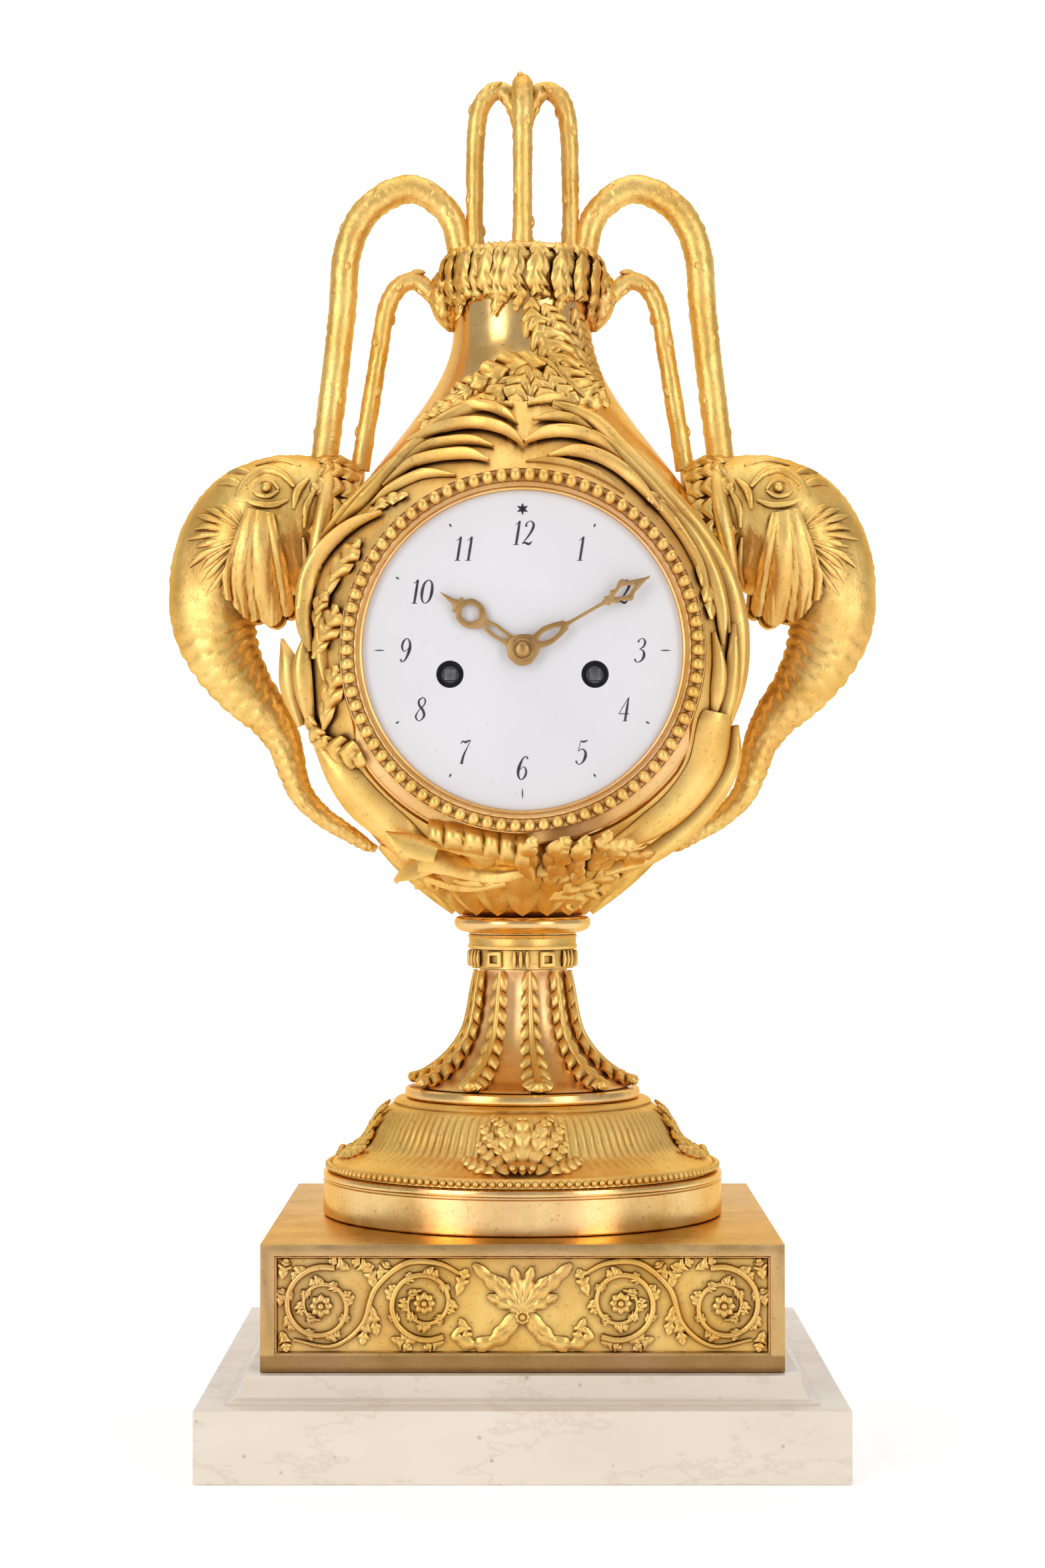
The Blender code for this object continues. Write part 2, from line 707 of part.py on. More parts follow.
def build_envelope():
    """The vase grown by the joint gap, to fit the handles to it."""
    outside = [(vase_radius(height) + JOINT_GAP, height) for height in vase_heights()]
    profile = [(0, VASE_BASE - JOINT_GAP), (outside[0][0], VASE_BASE - JOINT_GAP), *outside[1:-1]]
    profile += [(outside[-1][0], VASE_TOP + JOINT_GAP), (0, VASE_TOP + JOINT_GAP)]
    return as_helper(turned("vase_envelope", profile, FINE_SIDES, GILT))


def build_rear_cover():
    face = -REAR_DRUM_REACH + REAR_COVER_THICKNESS
    profile = [
        (0, face - REAR_COVER_THICKNESS),
        (REAR_COVER_RADIUS - REAR_COVER_CHAMFER, face - REAR_COVER_THICKNESS),
        (REAR_COVER_RADIUS, face - REAR_COVER_THICKNESS + REAR_COVER_CHAMFER),
        (REAR_COVER_RADIUS, face),
        (0, face),
    ]
    return face_forward(turned("rear_cover", profile, ROUND_SIDES, BURNISHED))


# Dial, bezel, hands and winding squares


def dial_front(radius):
    """How far in front of the vase's axis the dial's face stands at a radius from its centre."""
    share = radius / DIAL_SIGHT_RADIUS
    return DRUM_REACH - JOINT_GAP + DIAL_BULGE * (1 - share * share)


def build_dial():
    rim = DIAL_SIGHT_RADIUS + DIAL_LAP
    seat = DRUM_REACH - JOINT_GAP
    hole = ARBOR_RADIUS + ARBOR_CLEARANCE
    front = [(radius, dial_front(radius)) for radius in (hole, rim / 2)]
    profile = [*front, (rim, seat), (rim, seat - DIAL_THICKNESS)]
    profile += [(radius, height - DIAL_THICKNESS) for radius, height in front[::-1]]
    dial = face_forward(turned("enamel_dial", profile, ROUND_SIDES, ENAMEL))
    for side, label in ((-1, "left"), (1, "right")):
        cut = cylinder(
            f"winding_hole_{label}",
            WINDING_CUP_RADIUS + JOINT_GAP,
            DRUM_REACH - 8 * DIAL_THICKNESS,
            DRUM_REACH + 8 * DIAL_THICKNESS,
            SMALL_SIDES,
            ENAMEL,
        )
        face_forward(cut)
        cut.location += Vector((side * WINDING_SPREAD, 0, -WINDING_DROP))
        combine(dial, "DIFFERENCE", cut)
    return dial


def build_winding_square(side, label):
    """A dark cup let into the dial, with the square end of a winding arbor in its middle."""
    top = DRUM_REACH + DIAL_BULGE
    back = top - WINDING_CUP_DEPTH
    inner = WINDING_CUP_RADIUS - WINDING_CUP_WALL
    flange = WINDING_CUP_RADIUS + 2 * WINDING_CUP_WALL
    under = dial_front(math.hypot(WINDING_SPREAD, WINDING_DROP) + flange) - DIAL_THICKNESS - JOINT_GAP
    cup = turned(
        f"winding_square_{label}",
        [
            (0, back - WINDING_CUP_WALL),
            (flange, back - WINDING_CUP_WALL),
            (flange, under),
            (WINDING_CUP_RADIUS, under),
            (WINDING_CUP_RADIUS, top),
            (inner, top),
            (inner, back),
            (0, back),
        ],
        SMALL_SIDES,
        STEEL,
    )
    half = WINDING_SQUARE / 2
    bm = bmesh.new()
    add_loft(bm, [square_ring(half, back - WINDING_CUP_WALL / 2), square_ring(half, top - WINDING_CUP_WALL)])
    square = as_object(f"winding_post_{label}", bm, STEEL)
    combine(cup, "UNION", square)
    for piece in (cup, square):
        face_forward(piece)
        piece.location += Vector((side * WINDING_SPREAD, 0, -WINDING_DROP))
    return cup


def build_bezel():
    """The plain ring that holds the dial; the bead ring sits on its face."""
    inner = DIAL_SIGHT_RADIUS
    low = DRUM_REACH + JOINT_GAP
    profile = [
        (inner, low),
        (BEZEL_RADIUS, low),
        (BEZEL_RADIUS - BEZEL_CHAMFER, low + BEZEL_THICKNESS),
        (inner + 2 * BEZEL_CHAMFER, low + BEZEL_THICKNESS),
    ]
    return face_forward(turned("dial_bezel", profile, FINE_SIDES, BURNISHED))


def build_bead_ring():
    """BEAD_COUNT beads on one ring, each drawn in where it meets the next."""
    circle = BEZEL_RADIUS - BEZEL_CHAMFER - BEAD_RADIUS - JOINT_GAP
    seat = DRUM_REACH + BEZEL_THICKNESS + 2 * JOINT_GAP
    bm = bmesh.new()

    def ring(radius, lifts):
        made = []
        for i, lift in enumerate(lifts):
            angle = math.tau * i / len(lifts)
            made.append(bm.verts.new((radius * math.cos(angle), radius * math.sin(angle), seat + lift)))
        return made

    inner = ring(circle - BEAD_RADIUS, [0] * BEAD_COUNT)
    outer = ring(circle + BEAD_RADIUS, [0] * BEAD_COUNT)
    crest = ring(circle, [BEAD_RISE, BEAD_DIP_RISE] * BEAD_COUNT)
    for i in range(BEAD_COUNT):
        j = (i + 1) % BEAD_COUNT
        here, between, after = (crest[(2 * i + step) % (2 * BEAD_COUNT)] for step in range(3))
        bm.faces.new([inner[i], inner[j], outer[j], outer[i]])
        for edge in (inner, outer):
            bm.faces.new([edge[i], here, between])
            bm.faces.new([edge[i], between, edge[j]])
            bm.faces.new([edge[j], between, after])
    return face_forward(as_object("bead_ring", bm, GILT, smooth=80.0))


def hand_back(order):
    """How far in front of the axis a hand's back lies; order 0 is the hour hand, next to the dial."""
    return DRUM_REACH + DIAL_BULGE + HAND_GAP + order * (HAND_THICKNESS + HAND_GAP)


def hand_outline(length, waist, ornament_at, ornament_half):
    """(distance, half width) of a hand's silhouette, from the hub's far side to the tip."""
    hub = HAND_HUB_RADIUS
    around = [math.radians(angle) for angle in (-90, -52, -14, 24, 58)]
    return [
        *[(hub * math.sin(angle), max(hub * math.cos(angle), waist * 0.3)) for angle in around],
        (hub * 1.05, waist),
        (ornament_at - ornament_half * 1.3, waist),
        (ornament_at - ornament_half * 0.6, ornament_half * 0.8),
        (ornament_at, ornament_half),
        (ornament_at + ornament_half * 0.7, ornament_half * 0.7),
        (ornament_at + ornament_half * 1.3, waist * 0.5),
        (length, waist * 0.22),
    ]


def build_hand(name, length, waist, ornament_at, ornament_half, order, angle):
    """A flat hand: its silhouette extruded, then its hub, stem and ornament pierced."""
    rows = hand_outline(length, waist, ornament_at, ornament_half)
    outline = [(-half, distance) for distance, half in rows]
    outline += [(half, distance) for distance, half in rows[::-1]]
    back = hand_back(order)
    bm = bmesh.new()
    add_loft(bm, [[Vector((x, y, z)) for x, y in outline] for z in (back, back + HAND_THICKNESS)])
    hand = as_object(name, bm, HAND_GILT)
    bottom = back - HAND_THICKNESS
    top = back + 2 * HAND_THICKNESS
    eye = cylinder(f"{name}_eye", ARBOR_RADIUS + ARBOR_CLEARANCE, bottom, top, SMALL_SIDES, HAND_GILT)
    heart = cylinder(f"{name}_heart", ornament_half * 0.45, bottom, top, 8, HAND_GILT)
    heart.data.transform(Matrix.Translation((0, ornament_at, 0)))
    slot_half = waist * 0.4
    start = HAND_HUB_RADIUS * 1.25
    end = ornament_at - ornament_half * 1.8
    slot_mesh = bmesh.new()
    corners = ((-slot_half, start), (slot_half, start), (slot_half, end), (-slot_half, end))
    add_loft(slot_mesh, [[Vector((x, y, z)) for x, y in corners] for z in (bottom, top)])
    slot = as_object(f"{name}_slot", slot_mesh, HAND_GILT)
    combine(hand, "DIFFERENCE", eye, heart, slot)
    for piece in (hand, eye, heart, slot):
        face_forward(piece)
        piece.rotation_euler = (math.radians(90), math.radians(angle), 0)
    return hand


def build_arbor():
    """The centre arbor: a collar behind the dial, the pin through both hands and a domed nut."""
    back = DRUM_REACH - JOINT_GAP + DIAL_BULGE - DIAL_THICKNESS - ARBOR_COLLAR_THICKNESS - JOINT_GAP * 2
    seat = hand_back(1) + HAND_THICKNESS + JOINT_GAP
    return face_forward(
        turned(
            "centre_arbor",
            [
                (0, back),
                (ARBOR_COLLAR_RADIUS, back),
                (ARBOR_COLLAR_RADIUS, back + ARBOR_COLLAR_THICKNESS),
                (ARBOR_RADIUS, back + ARBOR_COLLAR_THICKNESS),
                (ARBOR_RADIUS, seat),
                *[(NUT_RADIUS * across, seat + NUT_HEIGHT * upward) for across, upward in NUT_DOME],
            ],
            SMALL_SIDES,
            HAND_GILT,
        )
    )


# Palm branches and bow


def branch_edges(share):
    """The inner and outer radius of a branch at a share of its length from the bow to the top."""
    swell = math.sin(math.pi / 2 * min(share / (1 - BRANCH_TOP_FROM), 1.0))
    rise = BRANCH_TOP_RISE * max(share - BRANCH_TOP_FROM, 0) / (1 - BRANCH_TOP_FROM)
    inner = DRUM_RADIUS + JOINT_GAP + rise / 3
    return inner, inner + BRANCH_WIDTH * (BRANCH_FOOT_SHARE + (1 - BRANCH_FOOT_SHARE) * swell) + rise / 2


def build_branch(side, label):
    """One palm branch: blades in a herringbone either side of a midrib, their tips past the edges."""
    stations = PALM_BLADES * 3 + 1
    rings = []
    for i in range(stations):
        share = i / (stations - 1)
        angle = side * (BRANCH_START + (BRANCH_END - BRANCH_START) * share)
        inner, outer = branch_edges(share)
        front = []
        for j in range(-2, 3):
            ridge = (i - abs(j)) % 3 == 0
            radius = inner + (outer - inner) * (j + 2) / 4
            if j == 2 and ridge:
                radius += BLADE_TIP
            front.append(garland_point(radius, angle, BLADE_THICKNESS if ridge else 0.0))
        behind = Vector((0, BRANCH_WEB, 0))
        back = [garland_point(radius, angle) + behind for radius in (outer, (inner + outer) / 2, inner)]
        rings.append(front + back)
    bm = bmesh.new()
    add_loft(bm, rings)
    return as_object(f"palm_branch_{label}", bm, GILT)


def flat_ring(name, centre, reach, half_height, rim, depth):
    """A flat, pointed loop of ribbon that runs out from a point near its knot."""
    rings = []
    for shrink, y in ((0, 0), (0, -depth), (rim, -depth), (rim, 0)):
        ring = []
        for i in range(BOW_LOOP_STEPS):
            turn = math.tau * (i + 0.5) / BOW_LOOP_STEPS
            x = reach / 2 + (abs(reach) / 2 - shrink) * math.cos(turn)
            spread = 0.72 + 0.28 * math.cos(turn) * math.copysign(1, reach)
            z = (half_height - shrink) * math.sin(turn) * spread + abs(x) * BOW_RISE
            ring.append(centre + Vector((x, y, z)))
        rings.append(ring)
    bm = bmesh.new()
    loops = [[bm.verts.new(point) for point in ring] for ring in rings]
    for first, second in zip(loops, loops[1:] + loops[:1]):
        for i in range(BOW_LOOP_STEPS):
            j = (i + 1) % BOW_LOOP_STEPS
            bm.faces.new([first[i], first[j], second[j], second[i]])
    return as_object(name, bm, GILT)


def build_bow():
    """The ribbon bow that ties the branches: a knot, two loops and two tails."""
    height = DIAL_HEIGHT - BOW_DROP
    knot = Vector((0, -DRUM_REACH, height))
    bm = bmesh.new()
    add_ball(bm, knot, (KNOT_WIDTH, BOW_RIBBON_WIDTH / 2, KNOT_WIDTH * 0.8), 8)
    bow = as_object("ribbon_bow", bm, GILT)
    pieces = []
    for side, length in ((-1, BOW_LOOP_LENGTH), (1, BOW_LOOP_LENGTH * 0.9)):
        base = knot + Vector((side * KNOT_WIDTH * 0.3, BOW_RIBBON_WIDTH * 0.45, 0))
        ribbon = BOW_RIBBON_WIDTH * 0.8
        pieces.append(flat_ring(f"bow_loop_{side}", base, side * length, BOW_LOOP_HALF, BOW_RIM, ribbon))
        tail, up = [], []
        for i in range(BOW_TAIL_STEPS):
            share = i / (BOW_TAIL_STEPS - 1)
            reach = KNOT_WIDTH / 3 + length * BOW_TAIL_REACH * share
            drop = length * (BOW_TAIL_FALL * share - BOW_TAIL_WAVE * math.sin(math.tau * share))
            tail.append(knot + Vector((side * reach, BOW_SWEEP * reach, -drop)))
            up.append(Vector((side * BOW_SWEEP, -1, 0)))
        strip = bmesh.new()
        widths = [BOW_RIBBON_WIDTH / 2] * BOW_TAIL_STEPS
        thicknesses = [BOW_RIBBON_THICKNESS / 2] * BOW_TAIL_STEPS
        add_sweep(strip, tail, up, widths, thicknesses, BAND_SECTION)
        pieces.append(as_object(f"bow_tail_{side}", strip, GILT))
    return join_all(bow, pieces)


# Neck ornaments


def build_collar():
    """The collar of hanging leaves round the neck, with a bud each side."""
    inner = (VASE_NECK_RADIUS + 2 * JOINT_GAP) / math.cos(math.pi / SMALL_ROUND_SIDES)
    outer = inner + COLLAR_THICKNESS
    top = VASE_TOP - JOINT_GAP
    low = top - COLLAR_HEIGHT
    ease = COLLAR_THICKNESS * 0.4
    profile = [(inner, low), (outer, low + ease), (outer, top - ease), (outer - ease, top), (inner, top)]
    collar = turned("leaf_collar", profile, SMALL_ROUND_SIDES, GILT)
    pieces = []
    for k in range(COLLAR_LEAVES):
        angle = math.radians(360 * (k + 0.5) / COLLAR_LEAVES - 90)
        out = Vector((math.cos(angle), math.sin(angle), 0))
        run = []
        for i in range(5):
            share = i / 4
            bulge = outer - BLADE_THICKNESS * (0.5 - 0.95 * math.sin(math.pi * share * 0.9))
            run.append(out * bulge + Vector((0, 0, top - ease - COLLAR_LEAF_LENGTH * share)))
        pieces.append(blade(f"collar_leaf_{k}", run, [out] * 5, COLLAR_LEAF_WIDTH, BLADE_THICKNESS))
    for side, label in ((-1, "left"), (1, "right")):
        bm = bmesh.new()
        centre = Vector((side * (outer + BUD_WIDTH * 0.35), 0, top - BUD_LENGTH * 0.5))
        add_ball(bm, centre, (BUD_WIDTH * 0.75, BUD_WIDTH, BUD_LENGTH / 2), 6)
        pieces.append(as_object(f"bud_{label}", bm, GILT))
    return join_all(collar, pieces)


def build_cap():
    edge = CAP_HEIGHT / 2
    profile = [
        (0, CAP_BASE),
        (CAP_RADIUS, CAP_BASE),
        (CAP_RADIUS, CAP_BASE + edge),
        (CAP_RADIUS - edge, CAP_TOP),
        (0, CAP_TOP),
    ]
    return turned("neck_cap", profile, SMALL_ROUND_SIDES, GILT)


def laid_leaf(name, controls, half_width, steps):
    """A serrated leaf laid on the vase's front through (x, height) places, following its curve."""
    places = [Vector((x, 0, height)) for x, height in through(controls, steps)]
    rings = []
    for i, place in enumerate(places):
        along = (places[min(i + 1, steps - 1)] - places[max(i - 1, 0)]).normalized()
        aside = Vector((along.z, 0, -along.x))
        swell = math.sin(math.pi * (i / (steps - 1)) ** LEAF_SWELL)
        width = half_width * swell * (1 - SPRAY_NOTCH * (i % 2))
        if i in (0, steps - 1):
            rings.append([vase_front(place.x, place.z, SPRAY_THICKNESS / 2)[0]])
            continue
        ring = []
        edge = SPRAY_THICKNESS * 0.4
        for across, lift in ((-1, edge), (0, SPRAY_THICKNESS), (1, edge), (0, edge * 0.8)):
            spot = place + aside * width * across
            ring.append(vase_front(spot.x, spot.z, lift)[0])
        rings.append(ring)
    bm = bmesh.new()
    add_loft(bm, rings)
    return as_object(name, bm, GILT)


def build_spray():
    """Serrated vine leaves laid over the front of the neck and shoulder."""
    neck_low = VASE_BASE + BELLY_RISE + SHOULDER_REACH
    runs = (
        ((0.02, 0.04), (0.32, -0.08), (0.72, -0.24), (0.98, -0.62), SPRAY_LEAF_WIDTH),
        ((0.46, -0.06), (0.10, -0.30), (-0.30, -0.34), (-0.70, -0.40), SPRAY_SIDE_LEAF_WIDTH),
        ((-0.20, -0.28), (-0.62, -0.46), (-0.95, -0.66), (-1.20, -0.92), SPRAY_SIDE_LEAF_WIDTH),
    )
    made = []
    for index, (*controls, half_width) in enumerate(runs):
        places = [(across * VASE_NECK_RADIUS, neck_low + SPRAY_HEIGHT * up) for across, up in controls]
        name = "vine_spray" if index == 0 else f"vine_leaf_{index}"
        made.append(laid_leaf(name, places, half_width, 7))
    return join_all(made[0], made[1:])


# Handles, in shares of ELEPHANT_HEIGHT from where the neck meets the vase

# Across, upward, half depth in the picture's plane and half width sideways, from the neck to the trunk's tip
TRUNK_STATIONS = (
    (-0.075, -0.015, 0.125, 0.105),
    (0.092, 0.015, 0.152, 0.126),
    (0.191, 0.008, 0.170, 0.134),
    (0.256, -0.061, 0.157, 0.126),
    (0.294, -0.145, 0.134, 0.107),
    (0.317, -0.237, 0.107, 0.092),
    (0.302, -0.328, 0.089, 0.080),
    (0.260, -0.405, 0.073, 0.069),
    (0.198, -0.473, 0.056, 0.055),
    (0.141, -0.542, 0.041, 0.043),
    (0.118, -0.618, 0.032, 0.035),
    (0.095, -0.687, 0.027, 0.031),
    (0.038, -0.733, 0.024, 0.027),
    (-0.023, -0.771, 0.021, 0.024),
    (-0.066, -0.804, 0.016, 0.020),
)

# Across and upward round one ear, and its middle
EAR_CENTRE = (0.185, -0.090)
EAR_ROOT_DEPTH = 0.080
EAR_HUB_DEPTH = 0.134
EAR_RIDGE_DEPTH = 0.138
EAR_RIM_DEPTH = 0.120
EAR_RIDGE_REACH = 0.62
EAR_OUTLINE = (
    (0.125, 0.035),
    (0.215, 0.000),
    (0.275, -0.080),
    (0.292, -0.165),
    (0.262, -0.215),
    (0.240, -0.250),
    (0.205, -0.256),
    (0.180, -0.222),
    (0.145, -0.205),
    (0.110, -0.175),
    (0.085, -0.110),
    (0.092, -0.030),
)


def elephant_point(side, across, upward, forward=0.0):
    """A place on a handle, in shares of its height from where its neck meets the vase."""
    height = DIAL_HEIGHT + ELEPHANT_RISE
    x = vase_radius(height) + ELEPHANT_HEIGHT * across
    return Vector((side * x, -ELEPHANT_HEIGHT * forward, height + ELEPHANT_HEIGHT * upward))


def add_elephant_head(bm, side, grow=0.0):
    points = [elephant_point(side, across, upward) for across, upward, _, _ in TRUNK_STATIONS]
    guides = [Vector((0, -1, 0))] * len(points)
    in_plane = [ELEPHANT_HEIGHT * station[2] + grow for station in TRUNK_STATIONS]
    sideways = [ELEPHANT_HEIGHT * station[3] + grow for station in TRUNK_STATIONS]
    add_sweep(bm, points, guides, in_plane, sideways, round_section(8))


def build_ear(name, side, facing):
    """A pleated fan that hangs from beside the crown."""
    rim, ridge = [], []
    for i, (across, upward) in enumerate(EAR_OUTLINE):
        rim.append(elephant_point(side, across, upward, facing * (EAR_RIM_DEPTH - upward / 10)))
        pairs = zip(EAR_CENTRE, (across, upward))
        mid = [middle + (edge - middle) * EAR_RIDGE_REACH for middle, edge in pairs]
        proud = EAR_PLEAT / ELEPHANT_HEIGHT * (i % 2)
        ridge.append(elephant_point(side, *mid, facing * (EAR_RIDGE_DEPTH + proud)))
    hub = [elephant_point(side, *EAR_CENTRE, facing * EAR_HUB_DEPTH)]
    root = [elephant_point(side, *EAR_CENTRE, facing * EAR_ROOT_DEPTH)]
    bm = bmesh.new()
    add_loft(bm, [root, rim, ridge, hub])
    return as_object(name, bm, GILT)


def build_elephant(side, label, envelopes):
    bm = bmesh.new()
    add_elephant_head(bm, side)
    head = as_object(f"elephant_head_{label}", bm, GILT)
    join_all(head, [build_ear(f"ear_{label}_{facing}", side, facing) for facing in (-1, 1)])
    combine(head, "DIFFERENCE", *envelopes)
    grown = bmesh.new()
    add_elephant_head(grown, side, 2 * JOINT_GAP)
    return head, as_helper(as_object(f"elephant_envelope_{label}", grown, GILT))


def stalk_path(side, foot, head, shape, count):
    """A stalk from (x, height) foot to head; shape holds shares of the way across and up, and radii."""
    made = []
    radii = []
    for across, upward, radius in through(shape, count):
        x = head[0] + (foot[0] - head[0]) * across
        made.append(Vector((side * x, 0, foot[1] + (head[1] - foot[1]) * upward)))
        radii.append(radius)
    return made, radii


def build_outer_stalk(side, label, envelopes):
    height = DIAL_HEIGHT + ELEPHANT_RISE
    foot = (vase_radius(height) + ELEPHANT_HEIGHT * 0.050, height + ELEPHANT_HEIGHT * 0.168)
    head = (CAP_RADIUS - OUTER_STALK_INSET, CAP_TOP + 2 * JOINT_GAP)
    thin = OUTER_STALK_END_RADIUS
    thick = OUTER_STALK_RADIUS
    shape = (
        (1.06, -0.12, thin),
        (1.00, 0.00, thin),
        (0.935, 0.38, thin * 0.4 + thick * 0.6),
        (0.882, 0.71, thick),
        (0.828, 1.02, thick),
        (0.720, 1.19, thick),
        (0.559, 1.29, thick),
        (0.372, 1.335, thick),
        (0.194, 1.29, thick * 0.95),
        (0.073, 1.18, thick * 0.88),
        (0.0, 1.06, thin),
        (0.0, 1.0, thin),
    )
    points, radii = stalk_path(side, foot, head, shape, 15)
    bm = bmesh.new()
    add_tube(bm, points, Vector((0, -1, 0)), radii, 6)
    return combine(as_object(f"outer_stalk_{label}", bm, GILT), "DIFFERENCE", *envelopes)


def build_inner_stalk(side, label, envelopes):
    height = DIAL_HEIGHT + ELEPHANT_RISE + ELEPHANT_HEIGHT * 0.150
    foot = (vase_radius(height), height)
    head_height = VASE_TOP - BUD_LENGTH * 0.42
    bud_edge = VASE_NECK_RADIUS + COLLAR_THICKNESS + BUD_WIDTH * 1.1
    head = (bud_edge + INNER_STALK_RADIUS * 0.8 + 2 * JOINT_GAP, head_height)
    thin = INNER_STALK_END_RADIUS
    thick = INNER_STALK_RADIUS
    shape = (
        (1.04, -0.12, thin),
        (0.86, 0.43, thin * 0.5 + thick * 0.5),
        (0.74, 0.68, thick),
        (0.60, 0.93, thick),
        (0.42, 1.05, thick),
        (0.20, 1.06, thick),
        (0.0, 1.0, thick),
    )
    points, radii = stalk_path(side, foot, head, shape, 11)
    bm = bmesh.new()
    add_tube(bm, points, Vector((0, -1, 0)), radii, 5)
    return combine(as_object(f"inner_stalk_{label}", bm, GILT), "DIFFERENCE", *envelopes)


def build_finial():
    """Two arches that cross at a knob, so that four stalks rise from the cap."""
    foot = CAP_TOP + 2 * JOINT_GAP
    half_arch = (
        (FINIAL_FOOT_SPREAD, 0.0),
        (FINIAL_SPREAD * 0.99, 0.35),
        (FINIAL_SPREAD, 0.72),
        (FINIAL_SPREAD * 0.88, 0.93),
        (FINIAL_SPREAD * 0.50, 1.0),
    )
    arch = [*half_arch, (0.0, 0.99), *[(-spread, rise) for spread, rise in half_arch[::-1]]]
    bm = bmesh.new()
    add_ball(bm, Vector((0, 0, foot + FINIAL_HEIGHT)), (KNOB_RADIUS,) * 3, 8)
    finial = as_object("finial", bm, GILT)
    pieces = []
    for k in range(FINIAL_STALKS // 2):
        angle = math.tau * k / FINIAL_STALKS
        out = Vector((math.cos(angle), math.sin(angle), 0))
        run = []
        for spread, rise in through(arch, FINIAL_STEPS):
            run.append(out * spread + Vector((0, 0, foot + FINIAL_HEIGHT * rise)))
        tube = bmesh.new()
        add_tube(tube, run, out.cross(Vector((0, 0, 1))), [FINIAL_STALK_RADIUS] * FINIAL_STEPS, 5 + k)
        pieces.append(as_object(f"finial_arch_{k}", tube, GILT))
    return join_all(finial, pieces)


def build_clock():
    clear_scene()
    build_marble_base()
    build_plinth()
    for turns, label in enumerate(("front", "right", "back", "left")):
        build_frieze_panel(f"frieze_{label}", turns, label != "back")
    build_step()
    turned("reeded_dome", dome_profile(), FINE_SIDES, GILT)
    build_fillet()
    build_stem()
    build_band()
    build_cup_ring()
    build_vase()
    build_rear_cover()
    body = build_envelope()
    build_dial()
    build_bezel()
    build_bead_ring()
    for side, label in ((-1, "left"), (1, "right")):
        build_winding_square(side, label)
    minute_angle = SHOWN_MINUTE * 6.0
    hour_angle = SHOWN_HOUR * 30.0 + SHOWN_MINUTE * 0.5
    build_hand("hour_hand", HOUR_HAND_LENGTH, HOUR_HAND_STEM, HOUR_ORNAMENT_AT, HOUR_ORNAMENT, 0, hour_angle)
    build_hand(
        "minute_hand",
        MINUTE_HAND_LENGTH,
        MINUTE_HAND_STEM,
        MINUTE_ORNAMENT_AT,
        MINUTE_ORNAMENT,
        1,
        minute_angle,
    )
    build_arbor()
    build_bow()
    build_collar()
    build_cap()
    build_spray()
    for side, label in ((-1, "left"), (1, "right")):
        build_branch(side, label)
        _, elephant = build_elephant(side, label, [body])
        build_outer_stalk(side, label, [elephant])
        build_inner_stalk(side, label, [body])
    build_finial()


build_clock()
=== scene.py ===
"""The looks of a gilt-bronze vase clock on a white marble base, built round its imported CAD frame.

Lengths in the classes are millimetres. The helpers turn them into metres, the unit of the frame.
The dial faces -Y, Z is up, and the origin is the middle of the marble base's underside.
"""

from __future__ import annotations

import logging
import math
from dataclasses import dataclass
from enum import Enum
from typing import Callable, Sequence

import bpy
import numpy as np
from mathutils import Matrix, Vector

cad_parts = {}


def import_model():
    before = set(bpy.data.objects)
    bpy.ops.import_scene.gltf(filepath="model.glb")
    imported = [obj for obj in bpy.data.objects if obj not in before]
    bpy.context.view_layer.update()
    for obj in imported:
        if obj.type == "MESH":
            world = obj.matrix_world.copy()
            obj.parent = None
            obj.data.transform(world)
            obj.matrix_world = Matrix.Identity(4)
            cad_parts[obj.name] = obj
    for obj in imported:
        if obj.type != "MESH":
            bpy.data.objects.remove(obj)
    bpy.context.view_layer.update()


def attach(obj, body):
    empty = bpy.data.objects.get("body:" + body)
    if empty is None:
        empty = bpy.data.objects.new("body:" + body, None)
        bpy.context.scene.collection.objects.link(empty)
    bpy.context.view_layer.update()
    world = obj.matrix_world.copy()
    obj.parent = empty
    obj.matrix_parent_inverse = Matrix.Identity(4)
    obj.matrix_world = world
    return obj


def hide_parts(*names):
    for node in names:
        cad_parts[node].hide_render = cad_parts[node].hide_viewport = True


MM = 0.001
DIAL_HEIGHT = 251.6
Colour = tuple[float, float, float]
Spot = tuple[float, float, float]
Array = np.ndarray
Points = Sequence[Sequence[float]]
Placer = Callable[[Array, Array], Array]
Piece = bpy.types.Object
Socket = bpy.types.NodeSocket
log = logging.getLogger("vase_clock")


class Section(Enum):
    """The shapes that a swept piece is cut to."""

    ROUND = "round"
    BLADE = "blade"
    RIBBON = "ribbon"


# Selecting, shaping and joining


def clear_selection() -> None:
    bpy.ops.object.select_all(action="DESELECT")


def alone(piece: Piece) -> None:
    """Select this piece only and make it the active one."""
    clear_selection()
    piece.select_set(True)
    bpy.context.view_layer.objects.active = piece


def mode(name: str) -> None:
    """Go into edit mode or back to object mode."""
    bpy.ops.object.mode_set(mode=name)


def modify(piece: Piece, kind: str, **settings: object) -> Piece:
    """Add a modifier to a piece and apply it.

    Args:
        piece: the piece to change.
        kind: the modifier's type name.
        settings: its settings.

    Returns:
        The same piece.
    """
    alone(piece)
    modifier = piece.modifiers.new(kind.title(), kind)
    for setting, value in settings.items():
        setattr(modifier, setting, value)
    bpy.ops.object.modifier_apply(modifier=modifier.name)
    return piece


